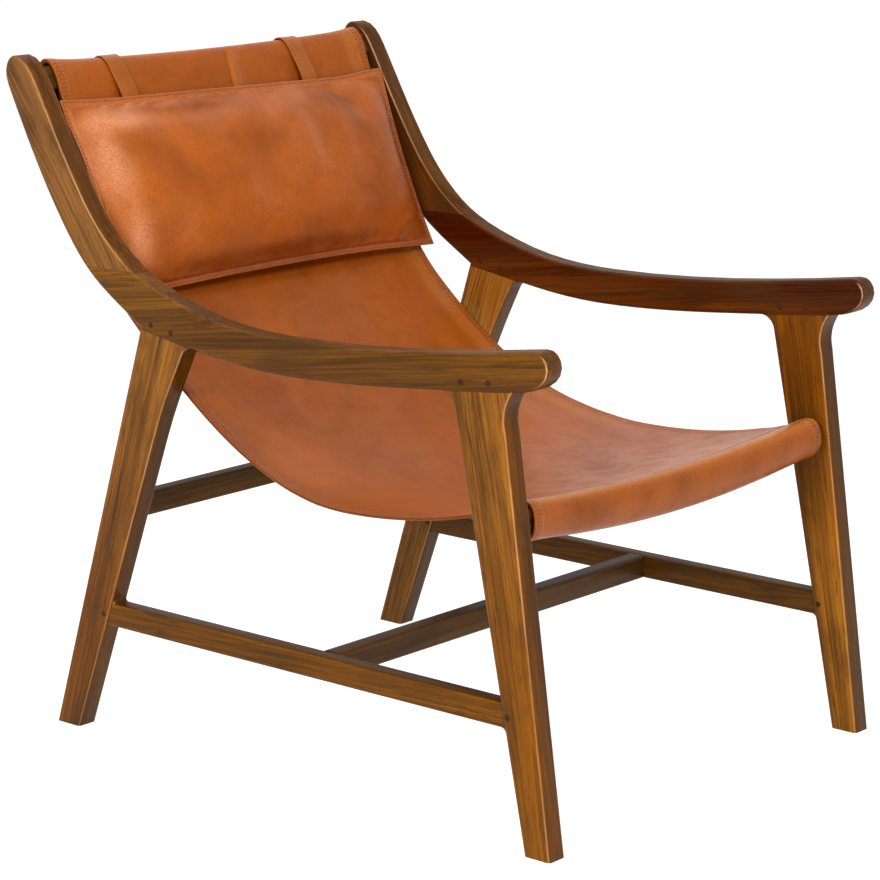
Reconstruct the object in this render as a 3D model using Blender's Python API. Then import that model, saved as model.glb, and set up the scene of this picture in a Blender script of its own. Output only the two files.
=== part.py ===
"""Occasional chair: two sculpted wooden side frames, four rails, a leather sling and a hanging head pillow.

The chair faces -Y and its sitter's left side is +X. The origin is on the floor, under the middle of its box.
Outlines are drawn in the plane of Y and Z, where a heading of 0 degrees points back and 90 points up.
"""

import math

import bmesh
import bpy
from mathutils import Vector
from mathutils.geometry import interpolate_bezier

# Overall sizes, in metres
WIDTH = 0.670
DEPTH = 0.8990
HEIGHT = 0.8735
ARM_HEIGHT = 0.5644  # the lowest point of the arm's top edge
ARM_THICKNESS = 0.0451
FRAME_THICKNESS = 0.0298
FRAME_ROUND = 0.0042  # the rounding of the side frame's long edges
CLEARANCE = 0.0003  # left between two pieces that touch
OVERRUN = 0.012  # how far a cutter runs past the wood
SHORTEST_EDGE = 0.002  # of the outlines

# Legs
FRONT_FOOT = 0.0385
REAR_FOOT = 0.0421
REAR_FOOT_INSET = 0.0662  # from the back of the upright's top to the back of the rear foot
LEG_FILLET = 0.021
FLARE_HEIGHT = 0.034  # the front leg's front edge flares forward over this height
FLARE_REACH = 0.0123
FLARE_RISE = 0.016  # the straight edge eases to upright over this height
SEAM_BLUNT = 0.008  # the leg's shoulder ends this far before the fillet's tangent point

# The two curved pieces of the side frame, as shares of the depth and of the rise from arm to top
ARM_TOP_SHARES = (
    (0.0337, 0.1094),
    (0.4731, 0.0),
    (0.6622, 0.0734),
    (0.7762, 0.2252),
    (0.8425, 0.4306),
    (0.9322, 0.8657),
)
ARM_TOP_HEADINGS = (-8.3, 0.0, 17.5, 38.0, 55.0, 60.5)
CAP_SHARES = ((0.9803, 1.0), (1.0, 0.9335))
CAP_HEADINGS = (4.0, -88.0)
BACK_EDGE_SHARES = ((0.9886, 0.8341), (0.8884, 0.3255), (0.8246, 0.1168), (0.7356, -0.0498))
BACK_EDGE_HEADINGS = (-116.5, -125.0, -142.0, -148.0)
UNDERSIDE_SHARES = ((0.7384, 0.0911), (0.6288, 0.0391), (0.4731, 0.0), (0.2617, 0.0327), (0.0671, 0.0909))
UNDERSIDE_HEADINGS = (189.3, 189.3, 180.0, 174.7, 173.5)
NOSE_SHARES = ((0.0393, 0.1058), (0.0107, 0.1915))
NOSE_HEADINGS = (163.0, 90.0)
REAR_LEG_BEND_SHARES = (0.7152, 0.7780)  # of the depth and of the arm's underside
REAR_LEG_TOP_SHARE = 0.6488
REAR_LEG_TOP_HEADING = 116.5
FRONT_LEG_BACK_TOP_SHARE = 0.1670
FLARE_HEADING = 128.0

# Joinery of the side frame
SCARF_RISE = 0.0519  # the upright meets the arm this far above the arm's lowest point
TENON_THICKNESS = 0.0092
TENON_ROUND = 0.001
TENON_ROOT = 0.004  # how deep in the leg its tenon starts
LEG_TENON_LENGTH = 0.024
LEG_TENON_SHARES = (0.13, 0.90)
PEG_DIAMETER = 0.007
PEG_CHAMFER = 0.0004
PEG_SIDES = 16
PEG_RISE = 0.0105
LEG_PEG_SHARES = (0.35, 0.75)
DOWEL_LENGTH = 0.032
DOWEL_SPACING = 0.023
DOWEL_INSET_SHARE = 0.36

# Side stretcher
STRETCHER_HEIGHT = 0.0315
STRETCHER_THICKNESS = 0.0245
STRETCHER_RECESS = 0.0025  # from the outer face of the legs
STRETCHER_FLOOR_GAP = 0.1475
STRETCHER_FLARE = 0.007
STRETCHER_TENON = (0.010, 0.018, 0.028)  # thickness, height and length
STRETCHER_PEG_INSET = 0.008

# Rails between the side frames
RAIL_ROUND = 0.004
CROSS_STRETCHER_WIDTH = 0.027
CROSS_STRETCHER_SETBACK = 0.3638  # from the front foot's front to its middle
CROSS_TENON = (0.014, 0.016, 0.012)
REAR_RAIL_THICKNESS = 0.022
REAR_RAIL_HEIGHT = 0.0315
REAR_RAIL_FLOOR_GAP = 0.2925
REAR_RAIL_TENON = (0.012, 0.018, 0.014)
FRONT_RAIL_THICKNESS = 0.018
FRONT_RAIL_HEIGHT = 0.033
FRONT_RAIL_TOP = 0.4055
FRONT_RAIL_SETBACK = 0.0753
FRONT_RAIL_DIP = 0.013  # the middle of the rail is bowed down by this much
FRONT_RAIL_TENON = (0.009, 0.022, 0.014)
TOP_RAIL_THICKNESS = 0.016
TOP_RAIL_HEIGHT = 0.031
TOP_RAIL_DROP = 0.031  # from the top of the uprights to the rail's middle
TOP_RAIL_INSET = 0.0373  # from the back of the uprights to the rail's middle
TOP_RAIL_DIP = 0.0060
TOP_RAIL_TENON = (0.008, 0.020, 0.014)
TOP_RAIL_LEAN = 27.5  # degrees from upright

# Leather
LEATHER = 0.0024
SLING_MARGIN = 0.0127  # from each side frame's inner face
SEAT_LOW_HEIGHT = 0.3608
SEAT_SAG = 0.012
BACK_SAG = 0.008
SEAT_SHARES = (
    (0.0502, 0.0731),
    (0.3466, 0.0),
    (0.6231, 0.1285),
    (0.8094, 0.3658),
    (0.8451, 0.4291),
    (0.9706, 0.9475),
)
SEAT_HEADINGS = (-18.0, 0.0, 30.7, 44.0, 52.0, 69.0)
SEAT_SAG_SHARES = ((0.0, 1.05), (0.0, 1.0), (0.3, 0.8), (0.7, 0.4), (0.9, 0.3), (0.4, 0.3))
FRONT_SLACKS = (0.0045, 0.0045, 0.0036)  # under, before and over the front rail
FRONT_SLEEVE_SAG = 0.007  # how far the sleeve's underside hangs lower in the middle than the rail
FRONT_SAG_SHARES = (1.0, 0.5, 0.0)  # of that, under, before and over the rail
TOP_SLACKS = (0.0018, 0.0060, 0.0038)  # before, over and behind the top rail
HEM = 0.024
HEM_GAP = 0.0005
FRONT_HEM_BEHIND = 0.039  # from the front rail's middle to the start of its hem
TOP_HEM_BELOW = 0.064  # from the top rail's middle to the start of its hem

# Head pillow and its straps
PILLOW_MARGIN = 0.0027  # from each side frame's inner face
PILLOW_HEIGHT = 0.2596
PILLOW_LEAN = 22.4
PILLOW_FORWARD = 0.0354  # from the top rail's middle to the pillow's top seam
PILLOW_DROP = 0.0305
PILLOW_FRONT_CROWN = 0.034
PILLOW_BACK_CROWN = 0.019
PILLOW_FLATNESS = 4
PILLOW_EDGE_FULLNESS = 0.62
PILLOW_REST_GAP = 0.0008
PILLOW_DRAW = 0.007  # how far the middle of each side is drawn in
PILLOW_FLANGE = 0.007
PILLOW_SEAM = 0.0048
STRAP_WIDTH = 0.033
STRAP_THICKNESS = 0.0022
STRAP_TUCK = 0.006  # how far the strap reaches down behind the pillow's flange
STRAP_RIGHT = 0.180  # from the chair's middle to the right strap's middle
STRAP_LEFT = 0.152

# Places worked out from the sizes above
FRONT = -DEPTH / 2
BACK = DEPTH / 2
RISE = HEIGHT - ARM_HEIGHT
UNDERSIDE_HEIGHT = ARM_HEIGHT - ARM_THICKNESS
SCARF_HEIGHT = ARM_HEIGHT + SCARF_RISE
INNER_FACE = WIDTH / 2 - FRAME_THICKNESS
FRAME_MIDDLE = WIDTH / 2 - FRAME_THICKNESS / 2
SLING_WIDTH = 2 * (INNER_FACE - SLING_MARGIN)
PILLOW_WIDTH = 2 * (INNER_FACE - PILLOW_MARGIN)
STRETCHER_MIDDLE = WIDTH / 2 - STRETCHER_RECESS - STRETCHER_THICKNESS / 2
STRETCHER_INNER_FACE = STRETCHER_MIDDLE - STRETCHER_THICKNESS / 2
STRETCHER_Z = STRETCHER_FLOOR_GAP + STRETCHER_HEIGHT / 2
FRONT_RAIL_SPOT = Vector((FRONT + FRONT_RAIL_SETBACK, FRONT_RAIL_TOP - FRONT_RAIL_HEIGHT / 2))
TOP_RAIL_SPOT = Vector((BACK - TOP_RAIL_INSET, HEIGHT - TOP_RAIL_DROP))
PILLOW_SPOT = TOP_RAIL_SPOT - Vector((PILLOW_FORWARD, PILLOW_DROP))
SIDES = (("left", 1), ("right", -1))

# Colours and roughness
WOOD = (0.225, 0.092, 0.024)
LEATHER_COLOUR = (0.420, 0.095, 0.022)
STRAP_COLOUR = (0.400, 0.120, 0.045)
WOOD_ROUGHNESS = 0.42
LEATHER_ROUGHNESS = 0.48


def heading_vector(degrees):
    """A unit step in the outline's plane."""
    return Vector((math.cos(math.radians(degrees)), math.sin(math.radians(degrees))))


def between(start, end, share):
    return start + (end - start) * share


def curve_through(knots, steps):
    """Points along smooth pieces between knots, each a place and a heading, with the last place left out."""
    points = []
    for (start, heading), (end, next_heading) in zip(knots, knots[1:]):
        leaving = heading_vector(heading)
        arriving = heading_vector(next_heading)
        turn = leaving.angle(arriving)
        reach = (end - start).length / (3 * math.cos(turn / 4) ** 2)
        piece = interpolate_bezier(start, start + leaving * reach, end - arriving * reach, end, steps + 1)
        points += [Vector(point) for point in piece[:-1]]
    return points


def frame_knots(shares, headings, base):
    """Knots from shares of the chair's depth and of the rise above a base height."""
    return [
        (Vector((FRONT + depth * DEPTH, base + rise * RISE)), heading)
        for (depth, rise), heading in zip(shares, headings)
    ]


def fillet(corner, first, second, radius, steps=8):
    """An arc-like curve that rounds a corner between two unit directions that leave it."""
    half_angle = first.angle(second) / 2
    reach = radius / math.tan(half_angle)
    handle = reach - radius * 4 / 3 * math.tan((math.pi / 2 - half_angle) / 2)
    ends = (corner + first * reach, corner + second * reach)
    handles = (corner + first * handle, corner + second * handle)
    return [Vector(point) for point in interpolate_bezier(ends[0], *handles, ends[1], steps + 1)]


UNDERSIDE_KNOTS = frame_knots(UNDERSIDE_SHARES, UNDERSIDE_HEADINGS, UNDERSIDE_HEIGHT)
UNDERSIDE = curve_through(UNDERSIDE_KNOTS, 7) + [UNDERSIDE_KNOTS[-1][0]]
FLARE_END = UNDERSIDE[-1]
FRONT_FOOT_FRONT = Vector((FRONT, 0))
FRONT_FOOT_BACK = Vector((FRONT + FRONT_FOOT, 0))
REAR_FOOT_BACK = Vector((BACK - REAR_FOOT_INSET, 0))
REAR_FOOT_FRONT = REAR_FOOT_BACK - Vector((REAR_FOOT, 0))
REAR_LEG_BEND = Vector(
    (FRONT + REAR_LEG_BEND_SHARES[0] * DEPTH, REAR_LEG_BEND_SHARES[1] * UNDERSIDE_HEIGHT)
)
NOTCH = frame_knots(BACK_EDGE_SHARES, BACK_EDGE_HEADINGS, ARM_HEIGHT)[-1][0]


def underside_at(y):
    """The arm's underside, where the legs meet it, at one distance along the chair."""
    for behind, ahead in zip(UNDERSIDE, UNDERSIDE[1:]):
        if y >= ahead.x:
            break
    share = (y - ahead.x) / (behind.x - ahead.x)
    return Vector((y, between(ahead.y, behind.y, share)))


def front_leg_front_edge():
    """Up from the front foot: straight, then flared forward under the arm's nose."""
    upright = FLARE_END + Vector((FLARE_REACH, -FLARE_HEIGHT))
    straight = upright - FRONT_FOOT_FRONT
    eased = FRONT_FOOT_FRONT + straight * (1 - FLARE_RISE / straight.y)
    slope = math.degrees(math.atan2(straight.y, straight.x))
    flare = curve_through([(eased, slope), (upright, 90), (FLARE_END, FLARE_HEADING)], 4)
    return [FRONT_FOOT_FRONT] + flare


def front_leg_back_corner():
    """Where the front leg's straight back edge would meet the arm's underside."""
    return underside_at(FRONT + FRONT_LEG_BACK_TOP_SHARE * DEPTH)


def front_leg_fillet():
    corner = front_leg_back_corner()
    backwards = underside_at(corner.x + LEG_FILLET) - corner
    return fillet(corner, backwards.normalized(), (FRONT_FOOT_BACK - corner).normalized(), LEG_FILLET)


def rear_leg_front_edge():
    """Up from the rear foot: straight, then a slight bend, then the fillet under the arm."""
    corner = underside_at(FRONT + REAR_LEG_TOP_SHARE * DEPTH)
    forwards = underside_at(corner.x - LEG_FILLET) - corner
    round_over = fillet(corner, -heading_vector(REAR_LEG_TOP_HEADING), forwards.normalized(), LEG_FILLET)
    straight = REAR_LEG_BEND - REAR_FOOT_FRONT
    slope = math.degrees(math.atan2(straight.y, straight.x))
    bend = curve_through([(REAR_LEG_BEND, slope), (round_over[0], REAR_LEG_TOP_HEADING)], 4)
    return [REAR_FOOT_FRONT] + bend + round_over


def side_outline():
    """The whole side frame's edge, from the front foot over the arm to the rear foot and back below."""
    top = frame_knots(ARM_TOP_SHARES, ARM_TOP_HEADINGS, ARM_HEIGHT)
    cap = frame_knots(CAP_SHARES, CAP_HEADINGS, ARM_HEIGHT)
    back_edge = frame_knots(BACK_EDGE_SHARES, BACK_EDGE_HEADINGS, ARM_HEIGHT)
    nose = frame_knots(NOSE_SHARES, NOSE_HEADINGS, UNDERSIDE_HEIGHT)
    rear = rear_leg_front_edge()
    front = front_leg_fillet()
    outline = front_leg_front_edge()
    outline += curve_through([(FLARE_END, UNDERSIDE_HEADINGS[-1])] + nose + [top[0]], 4)
    outline += curve_through(top, 6)
    outline += curve_through([top[-1]] + cap + [back_edge[0]], 5)
    outline += curve_through(back_edge, 6)
    outline += [NOTCH, REAR_FOOT_BACK] + rear
    outline += [p for p in UNDERSIDE if front[0].x + SHORTEST_EDGE < p.x < rear[-1].x - SHORTEST_EDGE]
    return outline + front + [FRONT_FOOT_BACK]


def grown(outline, amount):
    """The outline with every side moved outwards."""
    count = len(outline)
    area = sum(outline[i - 1].cross(outline[i]) for i in range(count))
    turn = 1 if area > 0 else -1
    points = []
    for i, point in enumerate(outline):
        before = (point - outline[i - 1]).normalized()
        after = (outline[(i + 1) % count] - point).normalized()
        out_before = Vector((before.y, -before.x)) * turn
        out_after = Vector((after.y, -after.x)) * turn
        points.append(point + (out_before + out_after) * (amount / (1 + out_before.dot(out_after))))
    return points


def rounded_rectangle(size, radius, lean=0.0, steps=2):
    """Points round a rectangle with rounded corners about zero, leant back by an angle in degrees."""
    width, height = size
    across, up = heading_vector(-lean), heading_vector(90 - lean)
    points = []
    for quarter, (sign_across, sign_up) in enumerate(((1, 1), (-1, 1), (-1, -1), (1, -1))):
        corner = (sign_across * (width / 2 - radius), sign_up * (height / 2 - radius))
        for step in range(steps + 1):
            arc = heading_vector(90 * (quarter + step / steps)) * radius
            points.append(across * (corner[0] + arc.x) + up * (corner[1] + arc.y))
    return points


def material(name, colour, roughness):
    finish = bpy.data.materials.new(name)
    finish.use_nodes = True
    shader = finish.node_tree.nodes["Principled BSDF"]
    shader.inputs["Base Color"].default_value = (*colour, 1)
    shader.inputs["Roughness"].default_value = roughness
    shader.inputs["Metallic"].default_value = 0
    return finish


def new_object(name, build, colour=None, roughness=WOOD_ROUGHNESS, origin=None):
    """An object from a bmesh, about its own middle or a given origin. Without a colour it is a cutter."""
    bmesh.ops.recalc_face_normals(build, faces=build.faces)
    if origin is None:
        lows = [min(vertex.co[axis] for vertex in build.verts) for axis in range(3)]
        highs = [max(vertex.co[axis] for vertex in build.verts) for axis in range(3)]
        origin = (Vector(lows) + Vector(highs)) / 2
    bmesh.ops.translate(build, verts=build.verts, vec=-origin)
    mesh = bpy.data.meshes.new(name)
    build.to_mesh(mesh)
    build.free()
    obj = bpy.data.objects.new(name, mesh)
    obj.location = origin
    bpy.context.scene.collection.objects.link(obj)
    if colour is None:
        obj.hide_render = True
        obj.display_type = "WIRE"
        return obj
    mesh.shade_smooth()
    mesh.set_sharp_from_angle(angle=math.radians(35))
    mesh.materials.append(material(f"{name}_finish", colour, roughness))
    return obj


def extruded(outline, x_range):
    """A bmesh of an outline in the side plane, carried from one X to another."""
    build = bmesh.new()
    start, end = x_range
    corners = [build.verts.new((start, point.x, point.y)) for point in outline]
    face = build.faces.new(corners)
    moved = bmesh.ops.extrude_face_region(build, geom=[face])["geom"]
    lifted = [item for item in moved if isinstance(item, bmesh.types.BMVert)]
    bmesh.ops.translate(build, verts=lifted, vec=(end - start, 0, 0))
    return build


def lofted(name, rings, colour=None):
    """A closed solid through rings of as many points each, with flat ends."""
    build = bmesh.new()
    rows = [[build.verts.new(point) for point in ring] for ring in rings]
    for row, following in zip(rows, rows[1:]):
        for i in range(len(row)):
            build.faces.new((row[i - 1], row[i], following[i], following[i - 1]))
    build.faces.new(rows[0])
    build.faces.new(rows[-1])
    return new_object(name, build, colour)


def closed_between(name, front, back, colour, origin=None):
    """A solid between two grids of points, with a rim all round."""
    build = bmesh.new()
    layers = [[[build.verts.new(point) for point in column] for column in grid] for grid in (front, back)]
    for grid in layers:
        for column, following in zip(grid, grid[1:]):
            for i in range(len(column) - 1):
                build.faces.new((column[i], column[i + 1], following[i + 1], following[i]))
    bmesh.ops.recalc_face_normals(build, faces=build.faces)
    front_rim, back_rim = (
        [column[0] for column in grid]
        + grid[-1][1:]
        + [column[-1] for column in reversed(grid[:-1])]
        + grid[0][-2:0:-1]
        for grid in layers
    )
    for i in range(len(front_rim)):
        build.faces.new((front_rim[i - 1], front_rim[i], back_rim[i], back_rim[i - 1]))
    return new_object(name, build, colour, LEATHER_ROUGHNESS, origin)


def rod(name, ends, radius, colour=None, chamfer=0.0):
    """A round rod between two points, with its rims chamfered."""
    start, end = ends
    length = (end - start).length
    profile = [(0, radius), (length, radius)]
    if chamfer:
        profile = [(0, radius - chamfer), (chamfer, radius)]
        profile += [(length - along, size) for along, size in reversed(profile)]
    turn = Vector((0, 0, 1)).rotation_difference(end - start)
    angles = [2 * math.pi * (side + 1 / 2) / PEG_SIDES for side in range(PEG_SIDES)]
    rings = [
        [start + turn @ Vector((size * math.cos(angle), size * math.sin(angle), along)) for angle in angles]
        for along, size in profile
    ]
    return lofted(name, rings, colour)


def cutter(name, outline, x_range):
    return new_object(name, extruded(outline, x_range))


def change(obj, operation, other):
    """Adds a Boolean of one operation to an object."""
    modifier = obj.modifiers.new(other.name, "BOOLEAN")
    modifier.operation = operation
    modifier.solver = "EXACT"
    modifier.object = other


def rectangle(y_range, z_range):
    (front, back), (low, high) = y_range, z_range
    return [Vector(corner) for corner in ((front, low), (back, low), (back, high), (front, high))]


def centred(middle, thickness):
    return (middle - thickness / 2, middle + thickness / 2)


def frame_blank(name, side):
    """The whole side frame in one, with its long edges rounded, from which each piece is cut."""
    build = extruded(side_outline(), centred(side * FRAME_MIDDLE, FRAME_THICKNESS))
    long_edges = []
    for edge in build.edges:
        first, second = (vertex.co for vertex in edge.verts)
        across = abs(first.x - second.x) > FRAME_THICKNESS / 2
        on_floor = max(first.z, second.z) < CLEARANCE
        if not across and not on_floor:
            long_edges.append(edge)
    bmesh.ops.bevel(build, geom=long_edges, offset=FRAME_ROUND, segments=3, profile=0.5, affect="EDGES")
    return new_object(name, build, WOOD)


def seam(y_range, steps=6):
    """Points along the arm's underside, from front to back."""
    front, back = y_range
    return [underside_at(between(front, back, step / steps)) for step in range(steps + 1)]


def seam_range(leg):
    """Where a leg's shoulder starts and ends along the arm. It stops short of the fillet's thin tip."""
    if leg == "front":
        return (FLARE_END.x, front_leg_fillet()[0].x - SEAM_BLUNT)
    return (rear_leg_front_edge()[-1].x + SEAM_BLUNT, NOTCH.x + SHORTEST_EDGE)


def leg_zone(leg):
    """The region below the seam that one leg is cut from."""
    below = Vector((0, -OVERRUN))
    ahead = Vector((-OVERRUN, 0))
    if leg == "front":
        front_side = [FRONT_FOOT_FRONT + ahead + below]
        foot_back = FRONT_FOOT_BACK
    else:
        front_side = [REAR_FOOT_FRONT + ahead + below, REAR_LEG_BEND + ahead]
        foot_back = REAR_FOOT_BACK
    return front_side + seam(seam_range(leg)) + [foot_back - 2 * ahead + below]


def leg_tenon(leg):
    """The tenon on a leg's top: it starts inside the leg and ends inside the arm."""
    front, back = seam_range(leg)
    below = seam([between(front, back, share) for share in LEG_TENON_SHARES], 2)
    lower = [point - Vector((0, TENON_ROOT)) for point in below]
    return lower + [point + Vector((0, LEG_TENON_LENGTH)) for point in reversed(below)]


def leg_peg_spots(leg):
    front, back = seam_range(leg)
    seats = [underside_at(between(front, back, share)) for share in LEG_PEG_SHARES]
    return [seat + Vector((0, PEG_RISE)) for seat in seats]


def leg_edge_at(leg, z):
    """Where the edge of a leg that a stretcher meets lies at one height."""
    if leg == "front":
        foot, high = FRONT_FOOT_BACK, front_leg_back_corner()
    else:
        foot, high = REAR_FOOT_FRONT, REAR_LEG_BEND
    return between(foot.x, high.x, z / high.y)


def stretcher_peg_spot(leg):
    inwards = -1 if leg == "front" else 1
    return Vector((leg_edge_at(leg, STRETCHER_Z) + inwards * STRETCHER_PEG_INSET, STRETCHER_Z))


def across_frame(side, spot, middle=FRAME_MIDDLE, thickness=FRAME_THICKNESS):
    """The two ends of a rod that crosses a side frame at a spot of its outline."""
    return [Vector((x, spot.x, spot.y)) for x in centred(side * middle, thickness)]


def peg(name, side, spot, pieces):
    """A peg through pieces of one side frame, and its hole in each of them."""
    radius = PEG_DIAMETER / 2
    rod(name, across_frame(side, spot), radius, WOOD, PEG_CHAMFER)
    long_ends = across_frame(side, spot, thickness=FRAME_THICKNESS + 2 * OVERRUN)
    hole = rod(f"{name}_hole", long_ends, radius + CLEARANCE)
    for piece in pieces:
        change(piece, "DIFFERENCE", hole)


def scarf_dowels(side_name, side, arm, upright):
    """Two hidden dowels that hold the upright on the arm's sloping end."""
    outline = side_outline()
    crossings = [
        between(a.x, b.x, (SCARF_HEIGHT - a.y) / (b.y - a.y))
        for a, b in zip(outline, outline[1:])
        if a.x > 0 and (a.y - SCARF_HEIGHT) * (b.y - SCARF_HEIGHT) < 0
    ]
    first = between(min(crossings), max(crossings), DOWEL_INSET_SHARE)
    for number in range(2):
        middle = Vector((side * FRAME_MIDDLE, first + number * DOWEL_SPACING, SCARF_HEIGHT))
        half = Vector((0, 0, DOWEL_LENGTH / 2))
        gap = Vector((0, 0, CLEARANCE))
        name = f"scarf_dowel_{number + 1}_{side_name}"
        rod(name, (middle - half, middle + half), PEG_DIAMETER / 2, WOOD, PEG_CHAMFER)
        hole_ends = (middle - half - gap, middle + half + gap)
        hole = rod(f"{name}_hole", hole_ends, PEG_DIAMETER / 2 + CLEARANCE)
        change(arm, "DIFFERENCE", hole)
        change(upright, "DIFFERENCE", hole)


def rail_mortise(obj, name, side, spot, tenon, lean=0.0, face=INNER_FACE):
    """A socket for a rail's tenon in the inner face of a side piece."""
    thickness, height, length = tenon
    corners = rounded_rectangle((thickness, height), TENON_ROUND, lean)
    outline = grown([spot + corner for corner in corners], CLEARANCE)
    change(obj, "DIFFERENCE", cutter(name, outline, (side * (face - OVERRUN), side * (face + length))))


def stretcher_mortise(obj, name, side, leg):
    """A socket for the side stretcher's tenon in a leg's edge."""
    thickness, height, length = STRETCHER_TENON
    inwards = -1 if leg == "front" else 1
    edge = leg_edge_at(leg, STRETCHER_Z)
    depth = (edge - inwards * OVERRUN, edge + inwards * (length + CLEARANCE))
    outline = rectangle(sorted(depth), centred(STRETCHER_Z, height + 2 * CLEARANCE))
    x_range = centred(side * STRETCHER_MIDDLE, thickness + 2 * CLEARANCE)
    change(obj, "DIFFERENCE", cutter(name, outline, x_range))


def leg(side_name, side, end):
    """A leg cut from the frame's blank, with its tenon and the socket for the side stretcher."""
    name = f"{end}_leg_{side_name}"
    through = centred(side * FRAME_MIDDLE, FRAME_THICKNESS + 2 * OVERRUN)
    obj = frame_blank(name, side)
    change(obj, "INTERSECT", cutter(f"{name}_zone", leg_zone(end), through))
    tenon = cutter(f"{name}_tenon", leg_tenon(end), centred(side * FRAME_MIDDLE, TENON_THICKNESS))
    change(obj, "UNION", tenon)
    stretcher_mortise(obj, f"{name}_stretcher_mortise", side, end)
    return obj


def back_upright(side_name, side):
    """The frame's upper piece, cut level where it stands on the arm."""
    name = f"back_upright_{side_name}"
    obj = frame_blank(name, side)
    above = rectangle((0, BACK + OVERRUN), (SCARF_HEIGHT + CLEARANCE, HEIGHT + OVERRUN))
    through = centred(side * FRAME_MIDDLE, FRAME_THICKNESS + 2 * OVERRUN)
    change(obj, "INTERSECT", cutter(f"{name}_zone", above, through))
    rail_mortise(obj, f"{name}_rail_mortise", side, TOP_RAIL_SPOT, TOP_RAIL_TENON, TOP_RAIL_LEAN)
    return obj


def arm(side_name, side):
    """The frame's middle piece, with the sockets for both legs' tenons."""
    name = f"arm_{side_name}"
    obj = frame_blank(name, side)
    through = centred(side * FRAME_MIDDLE, FRAME_THICKNESS + 2 * OVERRUN)
    above = rectangle((0, BACK + OVERRUN), (SCARF_HEIGHT, HEIGHT + OVERRUN))
    change(obj, "DIFFERENCE", cutter(f"{name}_scarf", above, through))
    for end in ("front", "rear"):
        change(obj, "DIFFERENCE", cutter(f"{name}_{end}_seam", grown(leg_zone(end), CLEARANCE), through))
        socket = grown(leg_tenon(end), CLEARANCE)
        x_range = centred(side * FRAME_MIDDLE, TENON_THICKNESS + 2 * CLEARANCE)
        change(obj, "DIFFERENCE", cutter(f"{name}_{end}_mortise", socket, x_range))
    return obj


def stretcher_ring(side, end, distance):
    """The side stretcher's section at a distance from one leg's edge, with its small flare."""
    drop = 0
    if distance < STRETCHER_FLARE:
        drop = STRETCHER_FLARE - math.sqrt(STRETCHER_FLARE**2 - (STRETCHER_FLARE - distance) ** 2)
    middle_z = STRETCHER_Z + (-drop if end == "front" else drop) / 2
    section = rounded_rectangle((STRETCHER_THICKNESS, STRETCHER_HEIGHT + drop), RAIL_ROUND)
    return stretcher_section(side, end, section, middle_z, distance + CLEARANCE)


def stretcher_section(side, end, section, middle_z, away):
    """A ring of the side stretcher, parallel to the edge of the leg that it meets."""
    outwards = 1 if end == "front" else -1
    ring = []
    for point in section:
        z = middle_z + point.y
        ring.append(Vector((side * STRETCHER_MIDDLE + point.x, leg_edge_at(end, z) + outwards * away, z)))
    return ring


def stretcher_end(side, end):
    """The rings of one end of the side stretcher, from its tenon's tip to its plain part."""
    thickness, height, length = STRETCHER_TENON
    tenon = rounded_rectangle((thickness, height), TENON_ROUND)
    root = stretcher_section(side, end, tenon, STRETCHER_Z, CLEARANCE)
    inwards = -1 if end == "front" else 1
    tip_y = leg_edge_at(end, STRETCHER_Z) + inwards * length
    tip = [Vector((point.x, tip_y, point.z)) for point in root]
    flare = [stretcher_ring(side, end, STRETCHER_FLARE * (step / 4) ** 2) for step in range(5)]
    return [tip, root] + flare


def side_stretcher(side_name, side):
    rings = stretcher_end(side, "front") + stretcher_end(side, "rear")[::-1]
    obj = lofted(f"side_stretcher_{side_name}", rings, WOOD)
    spot = Vector((FRONT + CROSS_STRETCHER_SETBACK, STRETCHER_Z))
    rail_mortise(obj, f"{obj.name}_mortise", side, spot, CROSS_TENON, face=STRETCHER_INNER_FACE)
    return obj


def rail(name, spot, size, tenon, lean=0.0, dip=0.0, face=INNER_FACE):
    """A rail between the side frames, bowed down by its dip, with a tenon on each end."""
    half = face - CLEARANCE
    section = rounded_rectangle(size, RAIL_ROUND, lean)
    stub = rounded_rectangle(tenon[:2], TENON_ROUND, lean)
    cells = 10 if dip else 1
    stations = [(-half - tenon[2], stub), (-half, stub)]
    stations += [(half * (2 * cell / cells - 1), section) for cell in range(cells + 1)]
    stations += [(half, stub), (half + tenon[2], stub)]
    rings = []
    for x, points in stations:
        low = spot - Vector((0, dip * max(0, 1 - (x / half) ** 2)))
        rings.append([Vector((x, low.x + point.x, low.y + point.y)) for point in points])
    return lofted(name, rings, WOOD)


def rear_rail_spot():
    """The rear rail's middle: halfway between the front and back edges of the rear legs."""
    z = REAR_RAIL_FLOOR_GAP + REAR_RAIL_HEIGHT / 2
    back_edge = between(REAR_FOOT_BACK.x, NOTCH.x, z / NOTCH.y)
    return Vector(((leg_edge_at("rear", z) + back_edge) / 2, z))


def sagged(knot, x, sag):
    """A knot of the sling moved by its share of the sag, which fades towards the sling's sides."""
    point, heading = knot
    return (point + Vector(sag) * (1 - (2 * x / SLING_WIDTH) ** 2), heading)


def sleeve_knot(spot, size, lean, side, away):
    """A knot of leather that passes one side of a rail, a distance away from it."""
    thickness, height = size
    up, back = heading_vector(90 - lean), heading_vector(-lean)
    out, half, heading = {
        "under": (-up, height / 2, 180 - lean),
        "before": (-back, thickness / 2, 90 - lean),
        "over": (up, height / 2, -lean),
        "behind": (back, thickness / 2, -90 - lean),
    }[side]
    return (spot + out * (half + away), heading)


def front_sleeve(x):
    size = (FRONT_RAIL_THICKNESS, FRONT_RAIL_HEIGHT)
    knots = [
        sleeve_knot(FRONT_RAIL_SPOT, size, 0, side, slack + LEATHER / 2)
        for side, slack in zip(("under", "before", "over"), FRONT_SLACKS)
    ]
    drops = [FRONT_RAIL_DIP + FRONT_SLEEVE_SAG * share for share in FRONT_SAG_SHARES]
    return [sagged(knot, x, (0, -drop)) for knot, drop in zip(knots, drops)]


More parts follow.
